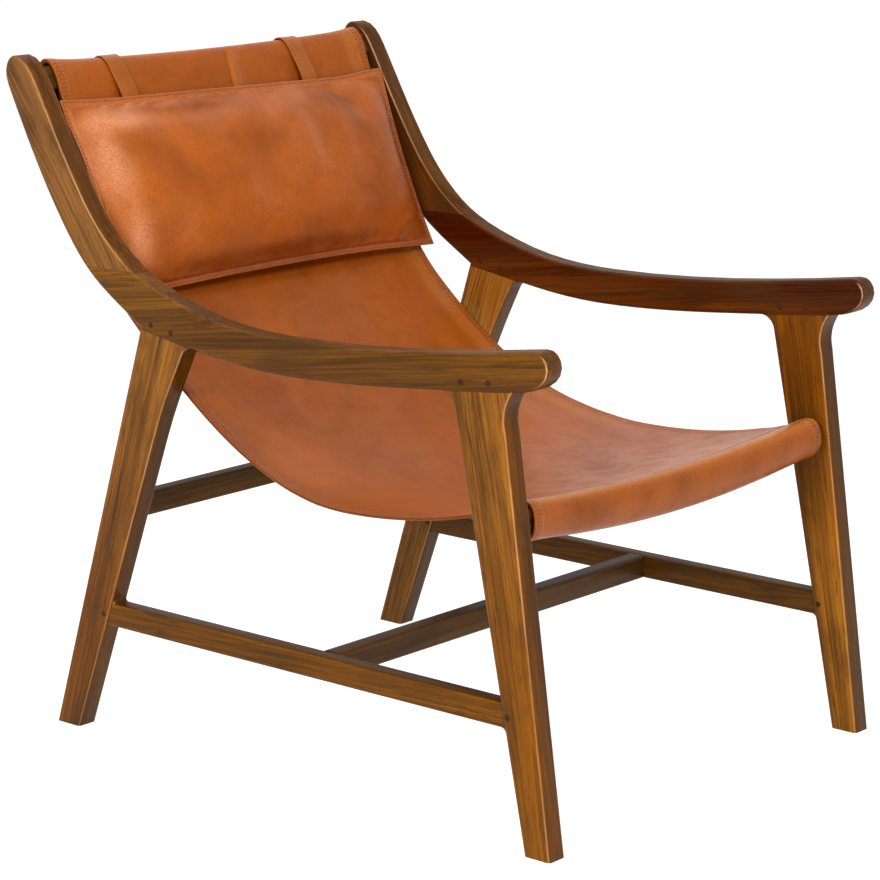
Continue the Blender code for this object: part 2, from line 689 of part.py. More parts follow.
def top_sleeve(x, extra=0.0):
    size = (TOP_RAIL_THICKNESS, TOP_RAIL_HEIGHT)
    knots = [
        sleeve_knot(TOP_RAIL_SPOT, size, TOP_RAIL_LEAN, side, slack + LEATHER / 2 + extra)
        for side, slack in zip(("before", "over", "behind"), TOP_SLACKS)
    ]
    return [sagged(knot, x, (0, -TOP_RAIL_DIP)) for knot in knots]


def panel(x):
    """The middle line of the seat and back, from over the front rail to before the top rail."""
    knots = [front_sleeve(x)[-1]]
    for (along, up), heading, (back_share, down_share) in zip(SEAT_SHARES, SEAT_HEADINGS, SEAT_SAG_SHARES):
        y = between(FRONT_RAIL_SPOT.x, TOP_RAIL_SPOT.x, along)
        z = between(SEAT_LOW_HEIGHT, TOP_RAIL_SPOT.y, up)
        sag = (BACK_SAG * back_share, -SEAT_SAG * down_share)
        knots.append(sagged((Vector((y, z)), heading), x, sag))
    knots.append(top_sleeve(x)[0])
    return curve_through(knots, 5) + [knots[-1][0]]


def hem(line, start, away):
    """Three places along a hem that lies under a line, from its free edge to where it starts."""
    places = []
    for share in (1, 1 / 2, 0):
        left = start + HEM * share
        for a, b in zip(line, line[1:]):
            if left <= (b - a).length:
                break
            left -= (b - a).length
        forwards = (b - a).normalized()
        under = Vector((forwards.y, -forwards.x))
        place = a + forwards * left + under * away
        places.append((place, math.degrees(math.atan2(-forwards.y, -forwards.x))))
    return places


def turned(knots):
    return [(place, heading + 180) for place, heading in reversed(knots)]


def sling_line(x):
    """The whole strip of the sling at one X: front hem, front sleeve, seat, back, top sleeve, top hem."""
    away = LEATHER + HEM_GAP
    middle = panel(x)
    front_hem = hem(middle, FRONT_HEM_BEHIND, away)
    from_behind = hem(middle[::-1], TOP_HEM_BELOW, -away)
    top_hem = turned(from_behind)
    line = curve_through(front_hem, 1)
    line += curve_through([front_hem[-1]] + front_sleeve(x), 4)
    line += middle[:-1]
    line += curve_through(top_sleeve(x) + [top_hem[0]], 4)
    return line + curve_through(top_hem, 1) + [top_hem[-1][0]]


def offset(line, amount):
    """A line moved to its left by an amount."""
    points = []
    for i, point in enumerate(line):
        forwards = (line[min(i + 1, len(line) - 1)] - line[max(i - 1, 0)]).normalized()
        points.append(point + Vector((-forwards.y, forwards.x)) * amount)
    return points


def strip(name, line_at, x_range, cells, thickness, colour):
    """A leather strip: at each X a line in the side plane, given its thickness."""
    faces = ([], [])
    for cell in range(cells + 1):
        x = between(*x_range, cell / cells)
        for face, amount in zip(faces, (thickness / 2, -thickness / 2)):
            face.append([Vector((x, point.x, point.y)) for point in offset(line_at(x), amount)])
    return closed_between(name, *faces, colour)


def pillow_axes():
    """Down along the pillow and out of its front, both in the side plane."""
    return -heading_vector(90 - PILLOW_LEAN), heading_vector(180 - PILLOW_LEAN)


def strap_line(x):
    """From behind the pillow's top seam up and over the top sleeve to its hem."""
    down, out = pillow_axes()
    behind = PILLOW_SEAM / 2 + CLEARANCE + STRAP_THICKNESS / 2
    extra = LEATHER / 2 + 2 * CLEARANCE + STRAP_THICKNESS / 2
    tucked = PILLOW_SPOT + down * STRAP_TUCK - out * behind
    top_hem = turned(hem(panel(x)[::-1], TOP_HEM_BELOW, -(LEATHER + HEM_GAP + extra)))
    knots = [(tucked, 90 - PILLOW_LEAN), (tucked - down * STRAP_TUCK, 90 - PILLOW_LEAN)]
    knots += top_sleeve(x, extra) + top_hem[:2]
    return curve_through(knots, 4) + [knots[-1][0]]


def pillow_stations(half):
    """Places across half a pillow: close together near its edge, where it is sewn flat."""
    inner = half - PILLOW_FLANGE
    places = [inner * math.sin(math.pi / 2 * step / 9) for step in range(10)]
    return [-half] + [-place for place in reversed(places[1:])] + places + [half]


def distance_to_sling(line, place, direction):
    """How far the sling's middle line lies from a place, in one direction of the side plane."""
    for a, b in zip(line, line[1:]):
        if (a - place).cross(direction) * (b - place).cross(direction) <= 0:
            share = (a - place).cross(direction) / (a - b).cross(direction)
            return (between(a, b, share) - place).dot(direction)
    return PILLOW_BACK_CROWN


def pillow_point(x, along, front):
    """A place on one face of the pillow: its edges are drawn in, and its back lies on the sling."""
    half, half_height = PILLOW_WIDTH / 2, PILLOW_HEIGHT / 2
    across_share, along_share = x / half, along / half_height
    x -= PILLOW_DRAW * across_share * (1 - along_share**2)
    along -= PILLOW_DRAW * max(0, along_share) * (1 - across_share**2)
    fullness = 1
    for share, edge in ((across_share, half), (along_share, half_height)):
        inner = min(1, abs(share) * edge / (edge - PILLOW_FLANGE))
        fullness *= (1 - inner**PILLOW_FLATNESS) ** PILLOW_EDGE_FULLNESS
    down, out = pillow_axes()
    spot = PILLOW_SPOT + down * (half_height + along)
    if front:
        spot += out * (PILLOW_SEAM / 2 + PILLOW_FRONT_CROWN * fullness)
    else:
        room = distance_to_sling(panel(x), spot, -out) - LEATHER / 2 - PILLOW_REST_GAP
        spot -= out * min(PILLOW_SEAM / 2 + PILLOW_BACK_CROWN * fullness, room)
    return Vector((x, spot.x, spot.y))


def head_pillow():
    """A full cushion with a flat sewn edge. Its origin is on the line that it swings about."""
    across = pillow_stations(PILLOW_WIDTH / 2)
    along = pillow_stations(PILLOW_HEIGHT / 2)
    faces = [
        [[pillow_point(x, place, front) for place in along] for x in across]
        for front in (True, False)
    ]
    origin = Vector((0, PILLOW_SPOT.x, PILLOW_SPOT.y))
    return closed_between("head_pillow", *faces, LEATHER_COLOUR, origin)


def side_frame(side_name, side):
    """One side frame: four glued and pegged pieces, a stretcher, six pegs and two dowels."""
    upright = back_upright(side_name, side)
    armrest = arm(side_name, side)
    legs = {end: leg(side_name, side, end) for end in ("front", "rear")}
    stretcher = side_stretcher(side_name, side)
    rail_mortise(legs["front"], f"front_rail_mortise_{side_name}", side, FRONT_RAIL_SPOT, FRONT_RAIL_TENON)
    rail_mortise(legs["rear"], f"rear_rail_mortise_{side_name}", side, rear_rail_spot(), REAR_RAIL_TENON)
    for end, obj in legs.items():
        for number, spot in enumerate(leg_peg_spots(end)):
            peg(f"{end}_leg_peg_{number + 1}_{side_name}", side, spot, (armrest, obj))
        peg(f"{end}_stretcher_peg_{side_name}", side, stretcher_peg_spot(end), (obj, stretcher))
    scarf_dowels(side_name, side, armrest, upright)


def rails():
    cross = Vector((FRONT + CROSS_STRETCHER_SETBACK, STRETCHER_Z))
    cross_size = (CROSS_STRETCHER_WIDTH, STRETCHER_HEIGHT)
    rail("cross_stretcher", cross, cross_size, CROSS_TENON, face=STRETCHER_INNER_FACE)
    rail("rear_rail", rear_rail_spot(), (REAR_RAIL_THICKNESS, REAR_RAIL_HEIGHT), REAR_RAIL_TENON)
    front_size = (FRONT_RAIL_THICKNESS, FRONT_RAIL_HEIGHT)
    rail("front_rail", FRONT_RAIL_SPOT, front_size, FRONT_RAIL_TENON, dip=FRONT_RAIL_DIP)
    top_size = (TOP_RAIL_THICKNESS, TOP_RAIL_HEIGHT)
    rail("top_rail", TOP_RAIL_SPOT, top_size, TOP_RAIL_TENON, TOP_RAIL_LEAN, TOP_RAIL_DIP)


def leatherwork():
    half = SLING_WIDTH / 2
    strip("sling", sling_line, (-half, half), 9, LEATHER, LEATHER_COLOUR)
    for side_name, middle in (("left", STRAP_LEFT), ("right", -STRAP_RIGHT)):
        name = f"pillow_strap_{side_name}"
        strip(name, strap_line, centred(middle, STRAP_WIDTH), 2, STRAP_THICKNESS, STRAP_COLOUR)
    pillow = head_pillow()
    hinge = bpy.data.objects.new("pillow_hinge", None)
    hinge.location = pillow.location
    bpy.context.scene.collection.objects.link(hinge)
    pillow.parent = hinge
    pillow.location = (0, 0, 0)


def clear_scene():
    for obj in list(bpy.data.objects):
        bpy.data.objects.remove(obj, do_unlink=True)


clear_scene()
for name_of_side, sign in SIDES:
    side_frame(name_of_side, sign)
rails()
leatherwork()
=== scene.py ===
import math

import bmesh
import bpy
import numpy as np
from mathutils import Matrix, Vector
from mathutils.geometry import interpolate_bezier


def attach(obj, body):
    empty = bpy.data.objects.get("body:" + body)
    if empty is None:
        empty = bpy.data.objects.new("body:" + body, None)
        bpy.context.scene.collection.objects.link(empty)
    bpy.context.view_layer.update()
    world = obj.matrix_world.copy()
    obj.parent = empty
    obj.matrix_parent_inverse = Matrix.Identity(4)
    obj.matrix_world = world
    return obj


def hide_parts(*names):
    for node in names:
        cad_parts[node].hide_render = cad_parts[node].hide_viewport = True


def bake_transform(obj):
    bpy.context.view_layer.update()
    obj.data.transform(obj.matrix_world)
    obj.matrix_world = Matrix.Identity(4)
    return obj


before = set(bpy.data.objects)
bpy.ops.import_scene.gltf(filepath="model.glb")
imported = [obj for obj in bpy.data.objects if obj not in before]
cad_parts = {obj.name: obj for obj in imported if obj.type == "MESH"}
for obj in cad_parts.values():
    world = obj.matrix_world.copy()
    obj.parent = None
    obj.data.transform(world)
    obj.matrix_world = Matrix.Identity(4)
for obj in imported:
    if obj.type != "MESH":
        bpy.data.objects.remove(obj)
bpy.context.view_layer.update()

# Lengths are in metres and angles in degrees. A place in the side plane is its Y and Z.

# Places of the frame that the leather follows
FRONT_RAIL = np.array((-0.3742, 0.389))
FRONT_RAIL_SIZE = (0.018, 0.033)
FRONT_RAIL_DIP = 0.013
TOP_RAIL = np.array((0.4122, 0.8425))
TOP_RAIL_SIZE = (0.016, 0.031)
TOP_RAIL_LEAN = 27.5
TOP_RAIL_DIP = 0.006

# The sling
LEATHER = 0.0024
SLING_HALF = 0.2925
SEAT_LOW = 0.3608
SEAT_SAG = 0.012
BACK_SAG = 0.008
# Shares of the way from rail to rail and of the rise, heading, shares of the sag back and down
SEAT_STATIONS = (
    (0.0502, 0.0731, -18.0, 0.0, 1.05),
    (0.3466, 0.0, 0.0, 0.0, 1.0),
    (0.6231, 0.1285, 30.7, 0.3, 0.8),
    (0.8094, 0.3658, 44.0, 0.7, 0.4),
    (0.8451, 0.4291, 52.0, 0.9, 0.3),
    (0.9706, 0.9475, 69.0, 0.4, 0.3),
)
SEAT_START = np.array((FRONT_RAIL[0], 0.398))
# Each side of a sleeve: its slack there, and in front its share of the sleeve's sag
FRONT_SLEEVE_SAG = 0.007
FRONT_SLEEVE = (("under", 0.0045, 1.0), ("before", 0.0045, 0.5), ("over", 0.0036, 0.0))
TOP_SLEEVE = (("before", 0.0018), ("over", 0.006), ("behind", 0.0038))
TOP_SLEEVE_RUN = 0.15
END_FLARE = 0.002
END_FLARE_REACH = 0.055
HEM = 0.024
HEM_GAP = 0.0005
FRONT_HEM_BEHIND = 0.039
TOP_HEM_BELOW = 0.064
SIDE_HEM = 0.0148
SIDE_HEM_THICKNESS = 0.0014
SIDE_ROWS = (0.005, 0.0118)
EDGE_COLUMNS = (0.0, 0.0007, 0.0022, 0.0038, 0.005, 0.0062, 0.0078, 0.0092, 0.0105, 0.0118, 0.0131, 0.0142,
                0.0154, 0.0175)
INNER_COLUMNS = 44
CREASE = 0.0022
CREASE_PLACE = 0.024
CREASE_COLUMNS = np.linspace(-0.018, 0.018, 19)
# How far the near edge lies above the middle, and the far edge below it, from front to back
SKEW_PLACES = (-0.32, -0.3, -0.2, -0.13, -0.05, 0.0, 0.046, 0.11, 0.176, 0.26, 0.33)
SKEW_LIFTS = (0.0, -0.002, -0.0042, -0.0058, -0.0073, -0.006, -0.003, 0.0, 0.002, 0.0036, 0.0)
COARSE_STEPS, SEAT_STEPS, SLEEVE_STEPS, HEM_STEPS = 5, 22, 14, 4

# The pillow
PILLOW_HALF = 0.3025
PILLOW_HEIGHT = 0.2596
PILLOW_LEAN = 22.4
PILLOW_TOP = np.array((0.3768, 0.812))
PILLOW_STATIONS = (60, 30)
FRONT_CROWN = 0.034
BACK_CROWN = 0.019
FLATNESS = 4
EDGE_FULLNESS = 0.62
REST_GAP = 0.0008
DRAW = 0.007
FLANGE = 0.0082
SEAM = 0.0048
SEWN_STATIONS = (0.0062, 0.0046, 0.003, 0.0014, 0.0)
STITCH_INSET = SEWN_STATIONS[2]
SEWN_STATION = 2
CORNER_RISES = ((-1, 0.0042), (1, 0.0072))
CORNER_BACK = 0.009
CORNER_REACH = 0.0004
CORNER_DROP = 0.0018
TILT_DROP = 0.0182  # for each metre across
TILT_START = -0.15
# Stuffing: cloth settings, frames simulated, the most that a point may swell, and the smoothing
STUFFING = {"quality": 6, "mass": 0.3, "tension_stiffness": 30, "compression_stiffness": 30,
            "shear_stiffness": 15, "bending_stiffness": 2.0, "vertex_group_mass": "held", "use_pressure": True,
            "uniform_pressure_force": 3.0, "shrink_min": -0.022}
STUFFING_FRAMES = 20
SWELL_CAP = 0.009
RELAX_PASSES = 24
RELAX_SHARE = 0.7

# Places across and down from the top, widths and heights there, and strengths
# Darker clouds: patina patches, and painted shade in a band under the top seam, down the right edge and along
# the bottom roll and flange
PILLOW_PATINA_AND_SHADE = (
    (-0.03, 0.08, 0.05, 0.026, 0.55), (0.165, 0.034, 0.06, 0.024, 0.6), (0.205, 0.1, 0.06, 0.036, 0.55),
    (0.2, 0.178, 0.06, 0.036, 0.65), (-0.11, 0.022, 0.11, 0.009, 0.6), (-0.16, 0.13, 0.06, 0.02, 0.22),
    (0.1, 0.215, 0.03, 0.02, 0.25), (0.286, 0.15, 0.026, 0.12, 0.8), (-0.03, 0.243, 0.3, 0.013, 0.95),
    (0.0, 0.257, 0.4, 0.005, 0.8),
)
# Painted highlights: the upper-left corner, down the left puff, and faint streaks.
PILLOW_PAINTED_HIGHLIGHTS = (
    (-0.24, 0.036, 0.05, 0.014, 1.0), (-0.272, 0.085, 0.018, 0.045, 0.95), (-0.262, 0.195, 0.017, 0.04, 0.9),
    (0.088, 0.095, 0.012, 0.045, 0.35), (0.03, 0.045, 0.01, 0.02, 0.2), (0.16, 0.12, 0.01, 0.04, 0.18),
)
PILLOW_DENTS = (
    (-0.235, 0.05, 0.05, 0.028, 0.003), (0.03, 0.085, 0.04, 0.05, -0.002), (-0.281, 0.142, 0.009, 0.01, -0.003),
    (-0.262, 0.16, 0.012, 0.022, 0.0016), (-0.12, 0.034, 0.06, 0.01, -0.0022),
)
# Creases of the front panel: place across, pivot, length, slope, place down, width and depth
PILLOW_CREASES = ((-0.205, -0.21, 0.018, 0.25, 0.082, 0.0045, 0.0012),
                  (-0.03, -0.03, 0.022, 0.3, 0.206, 0.005, 0.0014))

# Straps, each with its place across at the pillow and at its upper end
STRAP_WIDTH = 0.0285
STRAP_THICKNESS = 0.0022
STRAP_TUCK = 0.006
STRAP_COLUMNS = np.array((-1, -0.96, -0.86, -0.6, -0.3, 0, 0.3, 0.6, 0.86, 0.96, 1))
STRAP_STEPS = 12
STRAPS = (("left", 0.16, 0.155), ("right", -0.18, -0.185))

# Stitches
STITCH_PITCH = 0.005
STITCH_LENGTH = 0.0034
STITCH_RADIUS = 0.00046
STITCH_SHARES = np.array((0.0, 0.16, 0.5, 0.84, 1.0))
STITCH_SIZES = STITCH_RADIUS * np.array((0.35, 0.9, 1.0, 0.9, 0.35))
STITCH_SIDES = 6
ROW_WIDTH = 0.0009

# Wood: stretch along and across the grain, detail and roughness of each noise
BENT_NOISES = {"bands": (1.4, 55.0, 2.0, 0.5), "lines": (1.6, 130.0, 2.0, 0.55),
               "fibres": (4.5, 360.0, 2.0, 0.6), "bundles": (3.2, 38.0, 3.0, 0.55),
               "pores": (30.0, 420.0, 2.0, 0.6)}
STRAIGHT_NOISES = {"stains": (7.0, 14.0, 4.0, 0.6), "clouds": (3.5, 13.0, 3.0, 0.55)}
LIGHT_RAMPS = (("clouds", (0.32, 0.68, 0.84, 1.12)), ("fibres", (0.34, 0.66, 0.2, -0.22)),
               ("bands", (0.36, 0.64, 0.2, -0.24)))
GRAIN_WANDER = 0.024
WOOD_STREAK = (0.05, 0.02, 0.007)
# Pinkish tone of worn rounded edges, which is also their painted highlight
WOOD_WEAR_AND_HIGHLIGHT = (0.58, 0.3, 0.15)
WOOD_STAIN = (0.07, 0.027, 0.006)
WOOD_GLOSS_TINT = (1.0, 0.56, 0.3)
# Each board's grain angle, and for the right and the left frame: heights, face colours there, edge colour. The
# face colours ramp between the heights as painted light and shade, and the left frame's colours are darker
# copies, painted shade.
WOOD_PIECES = (
    ("arm", -6.0, (0.55, 0.59, (0.118, 0.042, 0.005), (0.182, 0.068, 0.006), (0.122, 0.045, 0.007)),
     (0.5, 0.6, (0.15, 0.038, 0.003), (0.046, 0.005, 0.0003), (0.092, 0.032, 0.006))),
    ("back_upright", 57.0, (0.6, 0.85, (0.26, 0.104, 0.02), (0.235, 0.096, 0.026), (0.13, 0.044, 0.007)),
     (0.6, 0.85, (0.11, 0.032, 0.003), (0.08, 0.016, 0.003), (0.112, 0.038, 0.004))),
    ("front_leg", 82.0, (0.12, 0.48, (0.214, 0.068, 0.002), (0.265, 0.094, 0.01), (0.11, 0.034, 0.002)),
     (0.12, 0.48, (0.325, 0.118, 0.01), (0.185, 0.055, 0.002), (0.086, 0.029, 0.002))),
    ("rear_leg", 109.0, (0.1, 0.45, (0.165, 0.049, 0.003), (0.255, 0.093, 0.012), (0.1, 0.034, 0.003)),
     (0.1, 0.45, (0.225, 0.092, 0.014), (0.27, 0.103, 0.012), (0.1, 0.042, 0.008))),
    ("side_stretcher", 0.0, (0.1, 0.2, (0.172, 0.058, 0.002), (0.172, 0.058, 0.002), (0.084, 0.031, 0.005)),
     (0.1, 0.2, (0.12, 0.046, 0.006), (0.12, 0.046, 0.006), (0.1, 0.042, 0.01))),
)
RAILS = ("cross_stretcher", "rear_rail", "front_rail", "top_rail")
RAIL_COLOUR = (0.09, 0.04, 0.009)
RAIL_SEED = 20
MERGE_DISTANCE = 1e-6
SHARP_ANGLE = 42
FACE_WEIGHT = 80

# Leather: its colours, and the scale, detail, roughness and distortion of each noise
LEATHER_BASE = (0.465, 0.11, 0.009)
LEATHER_DARK = (0.21, 0.049, 0.008)
LEATHER_PALE_AND_SHEEN = (0.64, 0.25, 0.125)
LEATHER_CUT = (0.07, 0.02, 0.007)
LEATHER_GLOSS_TINT = (1.0, 0.7, 0.34)
CLOUD_NOISE = (8.0, 3.0, 0.5, 0.4)
MOTTLE_NOISE = (30.0, 4.0, 0.6, 0.3)
PULLED_NOISE = (6.5, 4.0, 0.55, 0.8)
FINE_NOISE = (380.0, 3.0, 0.6)
SPECKLE_NOISE = (95.0, 3.0, 0.6)
PORE_SCALE = 720.0
CRINKLE_SCALE = 85.0
# Each piece's clouds, pale places, tint and shine
SLING_LOOK = (0.35, 0.14, (0.81, 0.71, 0.3), 0.32)
PILLOW_LOOK = (0.45, 0.3, (0.98, 0.9, 0.8), 0.26)
STRAP_LOOK = (0.25, 0.75, (0.8, 0.84, 1.2), 0.3)
SLING_SEED, PILLOW_SEED, STRAP_SEED = 1.0, 2.0, 3.3

# Studio
WORLD_LEVEL = 0.26
FLOOR_RADII = (3.0, 12.0, 40.0)
FLOOR_SIDES = 64
FLOOR_PLACE = (0, 0, -0.0002)
FLOOR_SHADE, FLOOR_GLOW, FLOOR_REFLECTANCE = 0.35, 0.93, 0.8
# Name, place, target, size, power and colour
LIGHTS = (
    ("key_left", (-3.4, -0.6, 2.6), (0.0, 0.0, 0.45), (1.4, 1.4), 84, (1, 1, 1)),
    ("overhead", (0.3, 1.4, 3.4), (0.0, 0.0, 0.5), (3.2, 2.2), 60, (0.95, 0.97, 1.0)),
    ("front_top", (-0.7, -2.7, 2.8), (0.0, 0.2, 0.6), (0.8, 0.8), 56, (1, 1, 1)),
    ("front_strip", (-1.9, -3.1, 0.45), (-0.2, -0.3, 0.3), (0.35, 0.85), 26, (1, 1, 1)),
)

# Camera: place, azimuth, elevation and roll; focal length and shift in the picture's pixels
CAMERA_PLACE = (-3.03436, -2.59226, 1.2775)
CAMERA_ANGLES = (-49.461, 12.7425, 0.058)
PICTURE = 880.0
FOCAL_LENGTH = 3151.393
CAMERA_SHIFT = (-0.734, 2.975)
SENSOR = 36.0  # millimetres


# Small helpers

def unit(vectors):
    return vectors / np.maximum(np.linalg.norm(vectors, axis=-1, keepdims=True), 1e-9)


def smoothstep(value, low, high):
    share = np.clip((value - low) / (high - low), 0, 1)
    return share * share * (3 - 2 * share)


def plateau(value, start, full, fading, end):
    """0 up to the start, 1 from full to fading, and 0 from the end on."""
    return smoothstep(value, start, full) * (1 - smoothstep(value, fading, end))


def gauss(value, middle, width):
    return np.exp(-((value - middle) / width) ** 2)


def patches(first, second, spots):
    """A sum of soft spots, each with its places, widths and strength."""
    return sum(strength * gauss(first, place, width) * gauss(second, other, height)
               for place, other, width, height, strength in spots)


def run_along(line):
    """Each point's distance along a line."""
    return np.concatenate([[0], np.cumsum(np.linalg.norm(np.diff(line, axis=0), axis=1))])


def new_object(name, data):
    obj = bpy.data.objects.new(name, data)
    bpy.context.scene.collection.objects.link(obj)
    return obj


# Shader graphs

class Graph:
    """A shader tree whose new nodes get their sockets by name, or by number as in i0."""

    def __init__(self, tree):
        self.tree = tree

    def feed(self, socket, value):
        if isinstance(value, bpy.types.NodeSocket):
            self.tree.links.new(value, socket)
        elif isinstance(value, tuple) and len(value) == 3 and socket.type == "RGBA":
            socket.default_value = (*value, 1)
        else:
            socket.default_value = value

    def add(self, kind, output=0, settings=(), **sockets):
        node = self.tree.nodes.new("ShaderNode" + kind)
        for name, value in dict(settings).items():
            setattr(node, name, value)
        for name, value in sockets.items():
            key = int(name[1:]) if name[1:].isdigit() else name.replace("_", " ")
            self.feed(node.inputs[key], value)
        return node.outputs[output]

    def noise(self, vector, scale, detail, roughness=0.5, distortion=0.0):
        return self.add("TexNoise", Vector=vector, Scale=scale, Detail=detail, Roughness=roughness,
                        Distortion=distortion)

    def math(self, operation, first, *others, clamp=False):
        """An operation on one value, or on several from left to right."""
        for other in others or (0.0,):
            first = self.add("Math", settings={"operation": operation, "use_clamp": clamp}, i0=first, i1=other)
        return first

    def vector(self, operation, first, second):
        return self.add("VectorMath", settings={"operation": operation}, i0=first, i1=second)

    def scaled(self, vector, factor):
        return self.add("VectorMath", settings={"operation": "SCALE"}, i0=vector, Scale=factor)

    def ramp(self, value, low, high, to_low=0.0, to_high=1.0, smooth=True):
        style = {"interpolation_type": "SMOOTHSTEP"} if smooth else {}
        return self.add("MapRange", settings=style, Value=value, From_Min=low, From_Max=high,
                        To_Min=to_low, To_Max=to_high)

    def mix(self, factor, first, second, blend="MIX"):
        """Two colours mixed: a Mix node has its colours at inputs 6 and 7 and output 2."""
        return self.add("Mix", 2, {"data_type": "RGBA", "blend_type": blend}, i0=factor, i6=first, i7=second)

    def bump(self, height, strength, distance):
        return self.add("Bump", Height=height, Strength=strength, Distance=distance)

    def attribute(self, name):
        return self.add("Attribute", "Fac", {"attribute_name": name})


class MaterialGraph(Graph):
    """The shader tree of a new material."""

    def __init__(self, name):
        self.material = bpy.data.materials.new(name)
        self.material.use_nodes = True
        super().__init__(self.material.node_tree)
        self.shader = self.tree.nodes["Principled BSDF"]

    def finish(self, **sockets):
        for name, value in sockets.items():
            self.feed(self.shader.inputs[name.replace("_", " ")], value)
        return self.material


# Materials

def wood_material(name, angle, seed, look, across=False):
    """Stained and varnished wood, its grain at an angle in the side plane, or across the chair, its face
    colours ramped by height as painted light and shade, and its front edges with wear and a painted highlight.
    """
    low_z, high_z, low_face_light_and_shade, high_face_light_and_shade, edge_colour = look
    graph = MaterialGraph(name)
    place = graph.add("TexCoord", "Object")
    turn = (0, 0, 0) if across else (math.radians(2.0 - angle), math.radians(2.4), math.radians(-90))
    shift = (0.37 * seed, 0.045 + 0.011 * (seed % 5), 0.06 + 0.017 * (seed % 7))
    board = graph.add("Mapping", Vector=place, Rotation=turn, Location=shift)
    wander = graph.add("Mapping", Vector=board, Scale=(1.8, 9.0, 9.0))
    wander = graph.add("TexNoise", 1, Vector=wander, Scale=1.0, Detail=3.0)
    wander = graph.vector("MULTIPLY", wander, (0.0, GRAIN_WANDER, GRAIN_WANDER))
    bent = graph.vector("ADD", board, wander)
    grain = {}
    for ground, noises in ((bent, BENT_NOISES), (board, STRAIGHT_NOISES)):
        for key, (length, width, detail, roughness) in noises.items():
            stretched = graph.add("Mapping", Vector=ground, Scale=(length, width, width))
            grain[key] = graph.noise(stretched, 1.0, detail, roughness)
    facing = graph.add("TexCoord", "Normal")
    side, front, level = (graph.add("SeparateXYZ", axis, Vector=facing) for axis in range(3))
    side, level = graph.math("ABSOLUTE", side), graph.math("ABSOLUTE", level)
    # Painted light and shade: the face colour ramps with height between the look's two heights.
    height = graph.add("SeparateXYZ", 2, Vector=place)
    colour = graph.mix(graph.ramp(height, low_z, high_z), low_face_light_and_shade, high_face_light_and_shade)
    if not across:
        colour = graph.mix(graph.ramp(side, 0.1, 0.7), edge_colour, colour)
    light = graph.math("ADD", *(graph.ramp(grain[key], *limits) for key, limits in LIGHT_RAMPS))
    colour = graph.scaled(colour, light)
    colour = graph.mix(graph.ramp(grain["stains"], 0.5, 0.68, 0.0, 0.55), colour, WOOD_STAIN)
    from_line = graph.math("ABSOLUTE", graph.math("SUBTRACT", grain["lines"], 0.5))
    veins = graph.math("MULTIPLY", graph.ramp(from_line, 0.05, 0.004),
                       graph.ramp(grain["bundles"], 0.4, 0.62, 0.2, 0.72))
    colour = graph.mix(veins, colour, WOOD_STREAK)
    colour = graph.mix(graph.ramp(grain["pores"], 0.57, 0.67, 0.0, 0.5), colour, WOOD_STREAK)
    if not across:
        # Wear and a painted highlight on the rounded edges that face the front, fading on tops
        highlight_and_wear = graph.math("MULTIPLY", graph.ramp(side, 0.45, 0.68), graph.ramp(side, 0.93, 0.76),
                            graph.ramp(grain["bundles"], 0.34, 0.62, 0.3, 0.8),
                            graph.ramp(level, 0.7, 0.4, 0.12, 1.0), graph.ramp(front, -0.15, -0.45))
        colour = graph.mix(highlight_and_wear, colour, WOOD_WEAR_AND_HIGHLIGHT)
    grazing = graph.ramp(graph.add("LayerWeight", "Facing", Blend=0.5), 0.55, 0.95, 0.0, 0.12)
    rough = graph.math("ADD", graph.ramp(grain["lines"], 0.3, 0.7, 0.25, 0.33), grazing)
    relief = graph.math("MULTIPLY", graph.math("ADD", grain["pores"], grain["lines"]), 0.5)
    return graph.finish(Base_Color=colour, Roughness=rough, Normal=graph.bump(relief, 0.28, 0.0005),
                        Specular_IOR_Level=graph.ramp(level, 0.35, 0.85, 0.16, 0.03),
                        Specular_Tint=WOOD_GLOSS_TINT)


